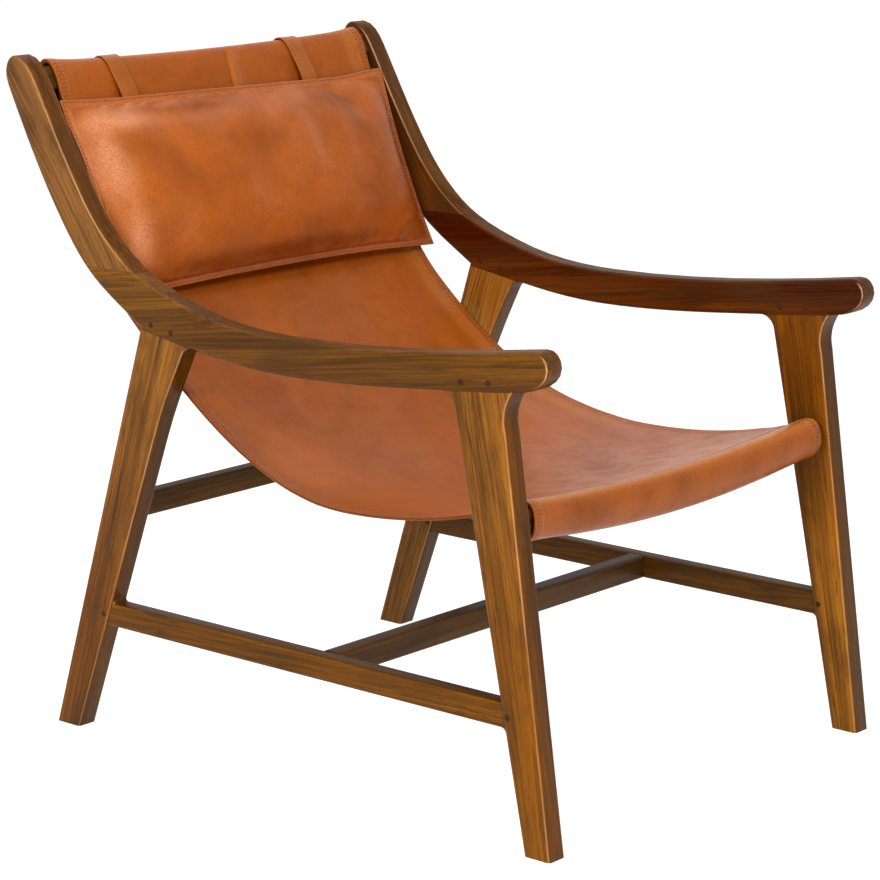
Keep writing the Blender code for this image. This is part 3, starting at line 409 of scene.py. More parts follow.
def leather_material(name, seed, look):
    """Waxed full-grain leather: clouds of patina and painted shade, pale pulled-up areas with painted sheen and
    highlights, pores, needle holes and dark cut edges.
    """
    cloud, pale, tint, shine = look
    graph = MaterialGraph(name)
    flat = graph.add("UVMap", settings={"uv_map": "flat"})
    place = graph.vector("ADD", flat, (3.1 * seed, 1.7 * seed, 0.9 * seed))
    clouds = graph.noise(place, *CLOUD_NOISE)
    mottle = graph.noise(place, *MOTTLE_NOISE)
    pulled = graph.noise(graph.vector("ADD", place, (7.7, 2.2, 0.0)), *PULLED_NOISE)
    fine = graph.noise(place, *FINE_NOISE)
    speckle = graph.noise(place, *SPECKLE_NOISE)
    # The cloud attribute holds patina and painted shade.
    drawn_cloud_and_shade = graph.math("MULTIPLY", graph.attribute("cloud"), graph.ramp(mottle, 0.25, 0.7, 0.65, 1.0))
    patina_and_shade = graph.math("ADD", graph.ramp(clouds, 0.48, 0.76, 0.0, cloud), drawn_cloud_and_shade, clamp=True)
    colour = graph.mix(patina_and_shade, LEATHER_BASE, LEATHER_DARK)
    colour = graph.mix(graph.ramp(mottle, 0.44, 0.76, 0.0, 0.32), colour, LEATHER_DARK)
    # Pale pulled-up places, and the painted sheen and highlights of the pale attribute
    pulled_pale_and_sheen = graph.math("ADD", graph.ramp(pulled, 0.52, 0.8, 0.0, pale), graph.attribute("pale"), clamp=True)
    colour = graph.mix(pulled_pale_and_sheen, colour, LEATHER_PALE_AND_SHEEN)
    colour = graph.mix(graph.ramp(fine, 0.4, 0.66, 0.0, 0.36), colour, LEATHER_DARK)
    colour = graph.mix(graph.ramp(speckle, 0.4, 0.72, 0.0, 0.16), colour, LEATHER_DARK)
    colour = graph.mix(1.0, colour, tint, "MULTIPLY")
    colour = graph.mix(graph.math("MULTIPLY", graph.attribute("groove"), 0.3), colour, LEATHER_DARK)
    holes = graph.math("ADD", needle_holes(graph, flat, 0, "row_across"),
                       needle_holes(graph, flat, 1, "row_along"), clamp=True)
    colour = graph.mix(graph.math("MULTIPLY", holes, 0.9), colour, LEATHER_CUT)
    colour = graph.mix(graph.ramp(graph.attribute("rim"), 0.35, 0.9, 0.0, 0.85), colour, LEATHER_CUT)
    cells = {"feature": "DISTANCE_TO_EDGE"}
    pores = graph.add("TexVoronoi", "Distance", cells, Vector=place, Scale=PORE_SCALE)
    wander = graph.add("TexNoise", 1, Vector=place, Scale=18.0, Detail=2.0)
    bent = graph.vector("ADD", place, graph.vector("MULTIPLY", wander, (0.02, 0.02, 0.02)))
    crinkles = graph.add("TexVoronoi", "Distance", cells, Vector=bent, Scale=CRINKLE_SCALE)
    relief = graph.math("ADD", graph.ramp(pores, 0.0, 0.25, 0.0, 0.45), graph.math("MULTIPLY", fine, 0.35),
                        graph.math("MULTIPLY", graph.ramp(crinkles, 0.0, 0.05), 0.12))
    relief = graph.math("SUBTRACT", relief, graph.math("MULTIPLY", holes, 1.5))
    return graph.finish(Base_Color=colour, Roughness=graph.ramp(mottle, 0.3, 0.7, 0.3, 0.4),
                        Normal=graph.bump(relief, 0.3, 0.0004),
                        Specular_IOR_Level=graph.ramp(drawn_cloud_and_shade, 0.1, 0.7, shine, 0.25 * shine),
                        Specular_Tint=LEATHER_GLOSS_TINT)


def needle_holes(graph, flat, axis, mask):
    """Dark holes between the stitches of the rows that a mask marks."""
    run = graph.add("SeparateXYZ", axis, Vector=flat)
    wave = graph.math("COSINE", graph.math("MULTIPLY", run, 2 * math.pi / STITCH_PITCH))
    return graph.math("MULTIPLY", graph.attribute(mask), graph.ramp(wave, 0.2, 0.8))


def suede_material():
    """The rough flesh side of the leather."""
    graph = MaterialGraph("leather_flesh_side")
    flat = graph.add("UVMap", settings={"uv_map": "flat"})
    nap = graph.noise(flat, 900.0, 2.0, 0.7)
    clouds = graph.noise(flat, 22.0, 3.0, 0.6)
    colour = graph.mix(graph.ramp(clouds, 0.3, 0.7), (0.3, 0.135, 0.055), (0.215, 0.09, 0.036))
    colour = graph.mix(graph.ramp(nap, 0.45, 0.8, 0.0, 0.35), colour, (0.38, 0.2, 0.1))
    return graph.finish(Base_Color=colour, Roughness=0.9, Normal=graph.bump(nap, 0.5, 0.0006),
                        Specular_IOR_Level=0.25, Sheen_Weight=0.15, Sheen_Roughness=0.5)


def thread_material():
    graph = MaterialGraph("waxed_thread")
    twist = graph.noise(graph.add("TexCoord", "Object"), 1500.0, 2.0)
    colour = graph.mix(graph.ramp(twist, 0.3, 0.7), (0.28, 0.085, 0.022), (0.44, 0.16, 0.06))
    return graph.finish(Base_Color=colour, Roughness=0.6, Normal=graph.bump(twist, 0.4, 0.0003))


def peg_material(name, seed):
    """Dark end grain of a peg."""
    graph = MaterialGraph(name)
    place = graph.vector("ADD", graph.add("TexCoord", "Object"), (0.1 * seed, 0.2 * seed, 0.3 * seed))
    grain = graph.noise(place, 900.0, 3.0, 0.7)
    colour = graph.mix(graph.ramp(grain, 0.3, 0.7), (0.03, 0.01, 0.004), (0.07, 0.026, 0.009))
    return graph.finish(Base_Color=colour, Roughness=0.5, Normal=graph.bump(grain, 0.4, 0.0004),
                        Specular_IOR_Level=0.1)


# Curves in the side plane. A knot is a place and a heading.

def heading_vector(degrees):
    return np.array((math.cos(math.radians(degrees)), math.sin(math.radians(degrees))))


def curve_through(knots, steps):
    """Points along smooth pieces between knots, with the last place left out."""
    points = []
    for (start, heading), (end, next_heading) in zip(knots, knots[1:]):
        leaving = heading_vector(heading)
        arriving = heading_vector(next_heading)
        turn = math.acos(max(-1.0, min(1.0, float(leaving @ arriving))))
        reach = np.linalg.norm(end - start) / (3 * math.cos(turn / 4) ** 2)
        handles = [Vector(p) for p in (start, start + leaving * reach, end - arriving * reach, end)]
        points += [np.array(p) for p in interpolate_bezier(*handles, steps + 1)[:-1]]
    return points


def sagged(knot, x, sag):
    """A knot moved by a sag that is full in the middle of the sling and nothing at its side edges."""
    place, heading = knot
    return (place + np.array(sag) * (1 - (x / SLING_HALF) ** 2), heading)


def sleeve_knot(spot, size, lean, side, away):
    """The knot on one side of a leaning rail."""
    thickness, height = size
    up, back = heading_vector(90 - lean), heading_vector(-lean)
    out, half, heading = {
        "under": (-up, height / 2, 180 - lean),
        "before": (-back, thickness / 2, 90 - lean),
        "over": (up, height / 2, -lean),
        "behind": (back, thickness / 2, -90 - lean),
    }[side]
    return (spot + out * (half + away), heading)


def end_flare(x):
    """How far a sleeve stands open near its ends."""
    return END_FLARE * float(smoothstep(abs(x), SLING_HALF - END_FLARE_REACH, SLING_HALF))


def front_sleeve(x):
    knots = []
    for side, slack, share in FRONT_SLEEVE:
        knot = sleeve_knot(FRONT_RAIL, FRONT_RAIL_SIZE, 0, side, slack + LEATHER / 2 + end_flare(x) / 2)
        knots.append(sagged(knot, x, (0, -FRONT_RAIL_DIP - FRONT_SLEEVE_SAG * share)))
    return knots


def top_sleeve(x, extra=0.0):
    away = LEATHER / 2 + extra + end_flare(x)
    knots = [sleeve_knot(TOP_RAIL, TOP_RAIL_SIZE, TOP_RAIL_LEAN, side, slack + away)
             for side, slack in TOP_SLEEVE]
    return [sagged(knot, x, (0, -TOP_RAIL_DIP)) for knot in knots]


def panel(x, steps=COARSE_STEPS):
    """The middle line of the seat and back."""
    knots = [front_sleeve(x)[-1]]
    for along, up, heading, back_share, down_share in SEAT_STATIONS:
        y = FRONT_RAIL[0] + (TOP_RAIL[0] - FRONT_RAIL[0]) * along
        z = SEAT_LOW + (TOP_RAIL[1] - SEAT_LOW) * up
        sag = (BACK_SAG * back_share, -SEAT_SAG * down_share)
        knots.append(sagged((np.array((y, z)), heading), x, sag))
    knots.append(top_sleeve(x)[0])
    line = np.array(curve_through(knots, steps) + [knots[-1][0]])
    forwards = unit(np.gradient(line, axis=0))
    normals = np.stack([-forwards[:, 1], forwards[:, 0]], -1)
    skew = -x / SLING_HALF * np.interp(line[:, 0], SKEW_PLACES, SKEW_LIFTS)
    return list(line + normals * skew[:, None])


def hem(line, start, away):
    """Three knots along a hem that lies under a line, from its free edge to where it starts."""
    knots = []
    for share in (1, 0.5, 0):
        left = start + HEM * share
        for a, b in zip(line, line[1:]):
            length = np.linalg.norm(b - a)
            if left <= length:
                break
            left -= length
        forwards = (b - a) / np.linalg.norm(b - a)
        under = np.array((forwards[1], -forwards[0]))
        place = a + forwards * left + under * away
        knots.append((place, math.degrees(math.atan2(-forwards[1], -forwards[0]))))
    return knots


def turned(knots):
    return [(place, heading + 180) for place, heading in reversed(knots)]


def sling_line(x):
    """The sling's whole middle line at one X: front hem, front sleeve, seat, back, top sleeve, top hem."""
    away = LEATHER + HEM_GAP
    coarse = panel(x)
    front_hem = hem(coarse, FRONT_HEM_BEHIND, away)
    top_hem = turned(hem(coarse[::-1], TOP_HEM_BELOW, -away))
    line = curve_through(front_hem, HEM_STEPS)
    line += curve_through([front_hem[-1]] + front_sleeve(x), SLEEVE_STEPS)
    line += panel(x, SEAT_STEPS)[:-1]
    line += curve_through(top_sleeve(x) + [top_hem[0]], SLEEVE_STEPS)
    return line + curve_through(top_hem, HEM_STEPS) + [top_hem[-1][0]]


# Meshes from grids of places [column, row]

def grid_normals(grid):
    return unit(np.cross(np.gradient(grid, axis=0), np.gradient(grid, axis=1)))


def shell_object(name, front, back, flat, shift, materials, masks=None, bulge=0.0004):
    """A closed object between two grids, with a rounded rim. The last material is the back's.

    The UV map 'flat' holds metres on the leather, shifted on the back.
    """
    columns, rows = front.shape[:2]
    count = columns * rows
    index = np.arange(count).reshape(columns, rows)
    rim = np.concatenate([index[:, 0], index[-1, 1:], index[-2::-1, -1], index[0, -2:0:-1]])
    inside = np.concatenate([index[:, 1], index[-2, 1:], index[-2::-1, -2], index[1, -2:0:-1]])
    middle = (front.reshape(-1, 3)[rim] + back.reshape(-1, 3)[rim]) / 2
    centre = (front + back).reshape(-1, 3) / 2
    middle = middle + unit(middle - centre[inside]) * bulge
    points = np.concatenate([front.reshape(-1, 3), back.reshape(-1, 3), middle])
    flat = flat.reshape(-1, 2)
    flat = np.concatenate([flat, flat + np.array(shift), flat[rim]])
    quads = np.stack([index[:-1, :-1], index[1:, :-1], index[1:, 1:], index[:-1, 1:]], -1).reshape(-1, 4)
    under = quads[:, ::-1] + count
    around = np.arange(len(rim)) + 2 * count
    after = np.roll(around, -1)
    next_rim = np.roll(rim, -1)
    upper = np.stack([next_rim, rim, around, after], -1)
    lower = np.stack([after, around, rim + count, next_rim + count], -1)
    faces = np.concatenate([quads, under, upper, lower])
    mesh = bpy.data.meshes.new(name)
    mesh.from_pydata(points.tolist(), [], faces.tolist())
    slots = np.zeros(len(faces), np.int32)
    slots[len(quads):len(quads) + len(under)] = len(materials) - 1
    mesh.polygons.foreach_set("material_index", slots)
    layer = mesh.uv_layers.new(name="flat")
    layer.data.foreach_set("uv", flat[faces.reshape(-1)].astype(np.float32).reshape(-1))
    values = {"rim": np.repeat((0.0, 1.0), (2 * count, len(rim)))}
    for key, (on_front, on_back) in (masks or {}).items():
        values[key] = np.concatenate([on_front.reshape(-1), on_back.reshape(-1), np.zeros(len(rim))])
    for key, mask in values.items():
        mesh.attributes.new(key, "FLOAT", "POINT").data.foreach_set("value", mask.astype(np.float32))
    mesh.shade_smooth()
    mesh.update()
    for material in materials:
        mesh.materials.append(material)
    return new_object(name, mesh)


def leather_masks(groove, back_groove, row_along, row_across, cloud, pale):
    """What the leather's material reads on a front and a back. The patina with its painted shade, and the
    painted sheen, are only on the front.
    """
    plain = np.zeros_like(cloud)
    return {"groove": (groove, back_groove), "row_along": (row_along, row_along),
            "row_across": (row_across, row_across), "cloud": (cloud, plain), "pale": (pale, plain)}


def stitch_object(name, rows, thread):
    """Thread stitches along rows. A row is its places, the outward normals there and its run in metres."""
    starts, ends, normals = [], [], []
    for places, facing, run in rows:
        numbers = np.arange(math.ceil(run[0] / STITCH_PITCH), math.floor(run[-1] / STITCH_PITCH))
        middles = (numbers + 0.5) * STITCH_PITCH
        for values, spots, found in ((places, middles - STITCH_LENGTH / 2, starts),
                                     (places, middles + STITCH_LENGTH / 2, ends), (facing, middles, normals)):
            found.append(np.stack([np.interp(spots, run, values[:, k]) for k in range(3)], -1))
    starts, ends, normals = (np.concatenate(found) for found in (starts, ends, normals))
    axis = unit(ends - starts)
    across = unit(np.cross(normals, axis))
    lift = unit(np.cross(axis, across))
    angles = np.linspace(0, 2 * math.pi, STITCH_SIDES, endpoint=False)
    centres = starts[:, None] + (ends - starts)[:, None] * STITCH_SHARES[:, None]
    centres += lift[:, None] * (0.9 * STITCH_SIZES - 0.25 * STITCH_RADIUS)[:, None]
    spokes = across[:, None] * np.cos(angles)[:, None] + lift[:, None] * np.sin(angles)[:, None]
    points = centres[:, :, None] + spokes[:, None] * STITCH_SIZES[:, None, None]
    last_ring = STITCH_SIDES * (len(STITCH_SHARES) - 1)
    around = np.arange(STITCH_SIDES)
    after = (around + 1) % STITCH_SIDES
    ring = np.stack([around, after, after + STITCH_SIDES, around + STITCH_SIDES], -1)
    walls = np.concatenate([ring + base for base in range(0, last_ring, STITCH_SIDES)])
    caps = np.stack([around[::-1], around + last_ring])
    stitch_points = last_ring + STITCH_SIDES
    faces = []
    for base in range(0, len(starts) * stitch_points, stitch_points):
        faces += (walls + base).tolist() + (caps + base).tolist()
    mesh = bpy.data.meshes.new(name)
    mesh.from_pydata(points.reshape(-1, 3).tolist(), [], faces)
    mesh.shade_smooth()
    mesh.materials.append(thread)
    return new_object(name, mesh)


# The sling

def sling_columns():
    """Places across the sling, closer together at its hems and at the crease."""
    inner = np.linspace(EDGE_COLUMNS[-1], SLING_HALF, INNER_COLUMNS)[1:]
    half = np.concatenate([EDGE_COLUMNS, inner]) - SLING_HALF
    return np.unique(np.concatenate([half, -half[-2::-1], CREASE_PLACE + CREASE_COLUMNS]))


def sling_waves(x, s, from_edge, seat, top_start):
    """Slight waves of the seat and back, which end at the side edges and the sleeves."""
    wave = 0.0007 * np.sin(x * 31 + 1.3 * np.sin(s * 9)) * np.sin(s * 17 + 0.6)
    wave += 0.0005 * np.sin(x * 63 - s * 21 + 0.8)
    wave *= smoothstep(from_edge, 0.0, 0.05)
    wave *= plateau(s, seat + 0.03, seat + 0.12, top_start - 0.06, top_start)
    return wave


def sling_crease(x, s, crest):
    """The crease on the front of the top sleeve: a ridge with a groove beside it."""
    ridge = CREASE_PLACE + 0.004
    spread = np.where(x > ridge, 0.013, 0.0036)
    crease = CREASE * (gauss(x, ridge, spread) - 0.8 * gauss(x, CREASE_PLACE - 0.0025, 0.0026))
    crease *= plateau(s, crest - 0.105, crest - 0.06, crest - 0.024, crest - 0.006)
    return crease


def sling_clouds(x, run):
    """Darker places of the sling: painted shade on its back below the pillow, darker in its deepest part, and
    patina streaks on the front face.
    """
    clouds = patches(x, run, ((-0.1, 0.4, 0.12, 0.1, 0.22), (0.1, 0.16, 0.05, 0.06, 0.25)))
    # Painted shade on the back below the pillow, and darker in the seat's deepest part
    clouds += 0.3 * gauss(run, 0.56, 0.1) + 0.22 * gauss(run, 0.2, 0.13)
    slant = x - 0.5 * run
    drags = 0.5 + 0.5 * np.sin(slant * 62 + 1.7 * np.sin(slant * 23 + 1.0))
    return np.clip(clouds + 0.4 * drags * gauss(run, -0.03, 0.022), 0, 1)


def sling_painted_sheen(x, run, crease):
    """Painted sheen and highlights of the sling: front fold, seat's front, hems, crease and far edge."""
    highlight_and_wear = 0.36 * gauss(run, 0.055, 0.055) + 0.75 * gauss(run, -0.003, 0.006)
    highlight_and_wear += 0.3 * gauss(SLING_HALF - np.abs(x), 0.0142, 0.0014)
    highlight_and_wear += 0.45 * np.clip(crease / CREASE, 0, 1)
    highlight_and_wear += 0.3 * gauss(x, 0.215, 0.022) * gauss(run, 0.5, 0.1)
    highlight_and_wear += 0.45 * gauss(x, 0.268, 0.012) * smoothstep(run, 0.25, 0.4)
    return np.clip(highlight_and_wear, 0, 1)


def sling(thread, suede):
    """The leather strip, with folded side hems, sleeves, stitch rows and slight creases."""
    across = sling_columns()
    lines = np.array([sling_line(x) for x in across])
    middle = np.concatenate([np.repeat(across[:, None, None], lines.shape[1], 1), lines], -1)
    normals = grid_normals(middle)
    centre = lines[len(across) // 2]
    along = run_along(centre)
    seat = along[int(np.argmin(np.linalg.norm(centre - SEAT_START, axis=1)))]
    crest = along[int(np.argmax(centre[:, 1]))]
    hem_row = seat + FRONT_HEM_BEHIND + 0.002
    top_row = along[-1] - 0.0035
    x, s = np.meshgrid(across, along, indexing="ij")
    from_edge = SLING_HALF - np.abs(x)
    wave = sling_waves(x, s, from_edge, seat, along[-1] - TOP_SLEEVE_RUN)
    crease = sling_crease(x, s, crest)
    front_pulls = 0.0007 * np.sin((x * 0.8 + s * 1.4) * 105) * smoothstep(np.abs(x), 0.02, 0.27)
    front_pulls *= gauss(s, seat - 0.032, 0.017)
    hem_ridge = 0.0005 * plateau(s, hem_row - 0.004, hem_row, hem_row + 0.018, hem_row + 0.026)
    row_along = sum(gauss(from_edge, row, ROW_WIDTH) for row in SIDE_ROWS)
    row_across = (gauss(s, hem_row, 0.0012) + gauss(s, top_row, 0.0012)) * smoothstep(from_edge, 0.003, 0.006)
    groove = np.clip(row_along + row_across, 0, 1)
    lift = wave + crease + front_pulls + hem_ridge - 0.0004 * row_along - 0.0003 * row_across
    lift += 0.0006 * (1 - smoothstep(from_edge, 0.0132, 0.0156))
    front = middle + normals * (LEATHER / 2 + lift)[..., None]
    hem_depth = SIDE_HEM_THICKNESS * (1 - smoothstep(from_edge, SIDE_HEM - 0.0006, SIDE_HEM + 0.0006))
    back = middle - normals * (LEATHER / 2 - wave - crease + hem_depth)[..., None]
    run = s - seat
    # The clouds paint shade on the back below the pillow, and the pale mask paints sheen and highlights.
    masks = leather_masks(groove, 0.5 * groove, row_along, row_across, sling_clouds(x, run),
                          sling_painted_sheen(x, run, crease))
    obj = shell_object("leather_sling", front, back, np.stack([x, s], -1), (4.0, 0.0),
                       (leather_material("sling_leather", SLING_SEED, SLING_LOOK), suede), masks, bulge=0.0007)
    rows = []
    for side in (-1, 1):
        for row in SIDE_ROWS:
            column = int(np.argmin(np.abs(across - side * (SLING_HALF - row))))
            rows += [(front[column], normals[column], along), (back[column], -normals[column], along)]
    inside = slice(4, -4)
    for row in (hem_row, top_row):
        station = int(np.argmin(np.abs(along - row)))
        rows.append((front[inside, station], normals[inside, station], across[inside]))
    stitches = stitch_object("sling_stitches", rows, thread)
    stitches.parent = obj
    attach(obj, "frame")
    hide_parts("sling")


# The head pillow

DOWN = -heading_vector(90 - PILLOW_LEAN)
OUT = heading_vector(180 - PILLOW_LEAN)


def cross2(a, b):
    return a[0] * b[1] - a[1] * b[0]


def room_behind(line, place):
    """How far the sling's middle line lies behind a place."""
    direction = -OUT
    for a, b in zip(line, line[1:]):
        one, other = cross2(a - place, direction), cross2(b - place, direction)
        if one * other <= 0 and one != other:
            share = one / (one - other)
            return float((a + (b - a) * share - place) @ direction)
    return BACK_CROWN


def pillow_stations(half, count):
    """Places from edge to edge, closer together towards the edges, and the stations of the sewn edge."""
    inner = (half - FLANGE) * np.sin(math.pi / 2 * np.linspace(0, 1, count) ** 0.9)
    upper = np.concatenate([inner, half - np.array(SEWN_STATIONS)])
    return np.concatenate([-upper[:0:-1], upper])


def pillow_outline(x, a, u, v):
    """The panels' points in their plane: sides drawn in, top edge tilted, corners moved."""
    drawn_x = x - DRAW * u * (1 - v ** 2)
    drawn_x += CORNER_REACH * smoothstep(u, 0.9, 1.0) * smoothstep(v, 0.8, 1.0)
    upper = 1 - smoothstep(v, -1.0, -0.1)
    rise = sum(height * smoothstep(side * u, 0.66, 1.0) for side, height in CORNER_RISES)
    drawn_a = a - DRAW * np.maximum(0, v) * (1 - u ** 2)
    drawn_a += (TILT_DROP * (x - TILT_START) - rise) * upper
    drawn_a += CORNER_DROP * smoothstep(u, 0.5, 1.0) * smoothstep(v, 0.5, 1.0)
    return drawn_x, drawn_a


def pillow_fullness(u, v, inset, top):
    """The stuffing's share of its full crown, thinnest at the top seam."""
    fullness = np.ones_like(top)
    for share, edge in ((u, PILLOW_HALF), (v, PILLOW_HEIGHT / 2)):
        inner = np.minimum(1, np.abs(share) * edge / (edge - FLANGE))
        fullness *= (1 - inner ** FLATNESS) ** EDGE_FULLNESS
    fullness *= 1 - 0.4 * np.exp(-np.maximum(0, inset - FLANGE) / 0.008)
    fullness *= 1 - 0.45 * np.exp(-np.maximum(0, top - FLANGE) / 0.016)
    return fullness


def pillow_relief(x, top):
    """Soft dents, folds, creases and fuller places of the stuffed front panel."""
    relief = patches(x, top, PILLOW_DENTS)
    relief += 0.0022 * gauss(x - 0.25 * (top - 0.1), 0.085, 0.02) * gauss(top, 0.105, 0.05)
    for across, pivot, length, slope, down, width, depth in PILLOW_CREASES:
        relief -= depth * gauss(top - slope * (x - pivot), down, width) * gauss(x, across, length)
    relief += 0.0012 * np.sin(x * 48 + 0.9) * gauss(top, 0.026, 0.01)
    relief += 0.001 * np.sin(x * 41 + 2.1) * gauss(top, 0.236, 0.01)
    corners = gauss(np.abs(x), 0.262, 0.03) * (gauss(top, 0.035, 0.02) + gauss(top, 0.225, 0.02))
    relief += 0.0011 * corners * np.sin((top + 0.6 * np.abs(x)) * 170)
    relief += 0.001 * np.sin(x * 19 + 0.4) * np.sin(top * 33 + 0.7)
    return relief + 0.0006 * np.sin(x * 37 + top * 29)


def pillow(thread):
    """A stuffed cushion of two panels, sewn together through a flat edge."""
    half_height = PILLOW_HEIGHT / 2
    across = pillow_stations(PILLOW_HALF, PILLOW_STATIONS[0])
    along = pillow_stations(half_height, PILLOW_STATIONS[1])
    x, a = np.meshgrid(across, along, indexing="ij")
    top = a + half_height
    u, v = x / PILLOW_HALF, a / half_height
    from_side, from_end = PILLOW_HALF - np.abs(x), half_height - np.abs(a)
    inset = np.minimum(from_side, from_end)
    drawn_x, drawn_a = pillow_outline(x, a, u, v)
    fullness = pillow_fullness(u, v, inset, top)
    spots = PILLOW_TOP + DOWN * (half_height + drawn_a)[..., None]
    lines = [panel(value) for value in across]
    room = np.array([[room_behind(line, spot) for spot in column] for line, column in zip(lines, spots)])
    room = room - LEATHER / 2 - REST_GAP
    bent_back = CORNER_BACK * smoothstep(-u, 0.62, 1.0) * (1 - smoothstep(v, -1.0, -0.35))
    bent_back = np.minimum(bent_back, np.maximum(0, room - SEAM / 2))
    spots = spots - OUT * bent_back[..., None]
    room = room - bent_back
    row = gauss(inset, STITCH_INSET, ROW_WIDTH)
    front_out = SEAM / 2 + FRONT_CROWN * fullness + pillow_relief(x, top) * smoothstep(fullness, 0.0, 0.6)
    back_out = np.minimum(SEAM / 2 + BACK_CROWN * fullness, room)
    front = np.concatenate([drawn_x[..., None], spots + OUT * (front_out - 0.0004 * row)[..., None]], -1)
    back = np.concatenate([drawn_x[..., None], spots - OUT * back_out[..., None]], -1)
    upright_row = from_side < from_end
    flange = 1 - smoothstep(inset, FLANGE - 0.001, FLANGE + 0.002)
    # Patina, with painted shade under the top seam, down the right edge and along the bottom
    cloud = np.clip(patches(x, top, PILLOW_PATINA_AND_SHADE), 0, 1)
    # Painted highlights on the left puff, and a paler flange
    pale = np.clip(patches(x, top, PILLOW_PAINTED_HIGHLIGHTS) + 0.25 * flange, 0, 1)
    masks = leather_masks(row, row, row * upright_row, row * ~upright_row, cloud, pale)
    masks = {key: (on_front[::-1], on_back[::-1]) for key, (on_front, on_back) in masks.items()}
    obj = shell_object("leather_pillow", front[::-1], back[::-1], np.stack([x, a], -1)[::-1], (2.0, 1.0),
                       (leather_material("pillow_leather", PILLOW_SEED, PILLOW_LOOK),), masks)
    stitches = stitch_object("pillow_stitches", pillow_rows(front, back, across, along), thread)
    stitches.parent = obj
    stuff(obj, inset[::-1])
    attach(obj, "pillow")
    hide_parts("head_pillow")


def pillow_rows(front, back, across, along):
    """The places, normals and runs of the four stitch rows on each panel."""
    rows = []
    for grid, facing in ((front, OUT), (back, -OUT)):
        normal = np.concatenate([[0], facing])
        for end in (SEWN_STATION, -1 - SEWN_STATION):
            for places, run in ((grid[:, end], across), (grid[end], along)):
                inside = slice(SEWN_STATION, len(run) - SEWN_STATION)
                rows.append((places[inside], np.tile(normal, (len(places[inside]), 1)), run[inside]))
    return rows


def stuff(obj, inset):
    """Swells the front panel against its sewn edge, so that the leather puckers at its seams."""
    mesh = obj.data
    count = inset.size
    start = np.empty(len(mesh.vertices) * 3)
    mesh.vertices.foreach_get("co", start)
    start = start.reshape(-1, 3)
    held = np.ones(len(start))
    held[:count] = 1 - smoothstep(inset.reshape(-1), FLANGE - 0.0005, FLANGE + 0.004)
    held = np.round(held, 2)
    group = obj.vertex_groups.new(name=STUFFING["vertex_group_mass"])
    for value in np.unique(held[held > 0]):
        group.add([int(v) for v in np.nonzero(held == value)[0]], float(value), "REPLACE")
    modifier = obj.modifiers.new("stuffing", "CLOTH")
    for name, value in STUFFING.items():
        setattr(modifier.settings, name, value)
    modifier.settings.effector_weights.gravity = 0
    modifier.collision_settings.use_collision = False
    modifier.point_cache.frame_start = 1
    modifier.point_cache.frame_end = STUFFING_FRAMES
    scene = bpy.context.scene
    for number in range(1, STUFFING_FRAMES + 1):
        scene.frame_set(number)
    evaluated = obj.evaluated_get(bpy.context.evaluated_depsgraph_get())
    moved = np.empty(len(mesh.vertices) * 3)
    evaluated.data.vertices.foreach_get("co", moved)
    obj.modifiers.remove(modifier)
    scene.frame_set(1)
    step = moved.reshape(-1, 3) - start
    length = np.linalg.norm(step, axis=1, keepdims=True)
    step *= SWELL_CAP * np.tanh(length / SWELL_CAP) / np.maximum(length, 1e-9)
    step[count:] = 0
    step[:count] = relaxed(step[:count].reshape(*inset.shape, 3), inset).reshape(-1, 3)
    mesh.vertices.foreach_set("co", (start + step).reshape(-1))
    mesh.update()


def relaxed(step, inset):
    """The swelling with its ripples smoothed away from the seams."""
    share = smoothstep(inset, FLANGE + 0.002, FLANGE + 0.022)[..., None]
    for _ in range(RELAX_PASSES):
        padded = np.pad(step, ((1, 1), (1, 1), (0, 0)), mode="edge")
        around = (padded[:-2, 1:-1] + padded[2:, 1:-1] + padded[1:-1, :-2] + padded[1:-1, 2:]) / 4
        step = step + (around - step) * RELAX_SHARE * share
    return step


# Straps

def strap_line(x):
    """From behind the pillow's top seam over the top sleeve to its hem."""
    behind = SEAM / 2 + 0.0003 + STRAP_THICKNESS / 2
    extra = LEATHER / 2 + 0.0006 + STRAP_THICKNESS / 2
    tucked = PILLOW_TOP + DOWN * STRAP_TUCK - OUT * behind
    top_hem = turned(hem(panel(x)[::-1], TOP_HEM_BELOW, -(LEATHER + HEM_GAP + extra)))
    knots = [(tucked, 90 - PILLOW_LEAN), (tucked - DOWN * STRAP_TUCK, 90 - PILLOW_LEAN)]
    knots += top_sleeve(x, extra) + top_hem[:2]
    return np.array(curve_through(knots, STRAP_STEPS) + [knots[-1][0]])


def strap(side, low, high, suede):
    """A leather strap that hangs the pillow, a little slanted and uneven along its cut edges."""
    line = strap_line((low + high) / 2)
    along = run_along(line)
    rise = smoothstep(along, 0.01, 0.09)
    centre = low + (high - low) * rise
    width = STRAP_WIDTH * (1 + 0.05 * rise + 0.015 * np.sin(along * 90 + low * 40))
    places = np.array([np.stack([centre + share * width / 2, line[:, 0], line[:, 1]], -1)
                       for share in STRAP_COLUMNS])
    normals = grid_normals(places)
    thin = STRAP_THICKNESS / 2 * (1 - 0.25 * np.abs(STRAP_COLUMNS) ** 8)[:, None, None]
    cup = (0.0004 * (STRAP_COLUMNS ** 2))[:, None, None]
    x = STRAP_COLUMNS[:, None] * STRAP_WIDTH / 2 + np.zeros(len(along))
    flat = np.stack([x, np.repeat(along[None], len(STRAP_COLUMNS), 0)], -1)
    leather = leather_material(f"strap_leather_{side}", STRAP_SEED + low, STRAP_LOOK)
    front, back = places + normals * (thin + cup), places - normals * (thin - cup)
    obj = shell_object(f"leather_strap_{side}", front, back, flat, (1.0, 0.0), (leather, suede), bulge=0.0002)
    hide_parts(f"pillow_strap_{side}")
    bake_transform(obj)


# Wood

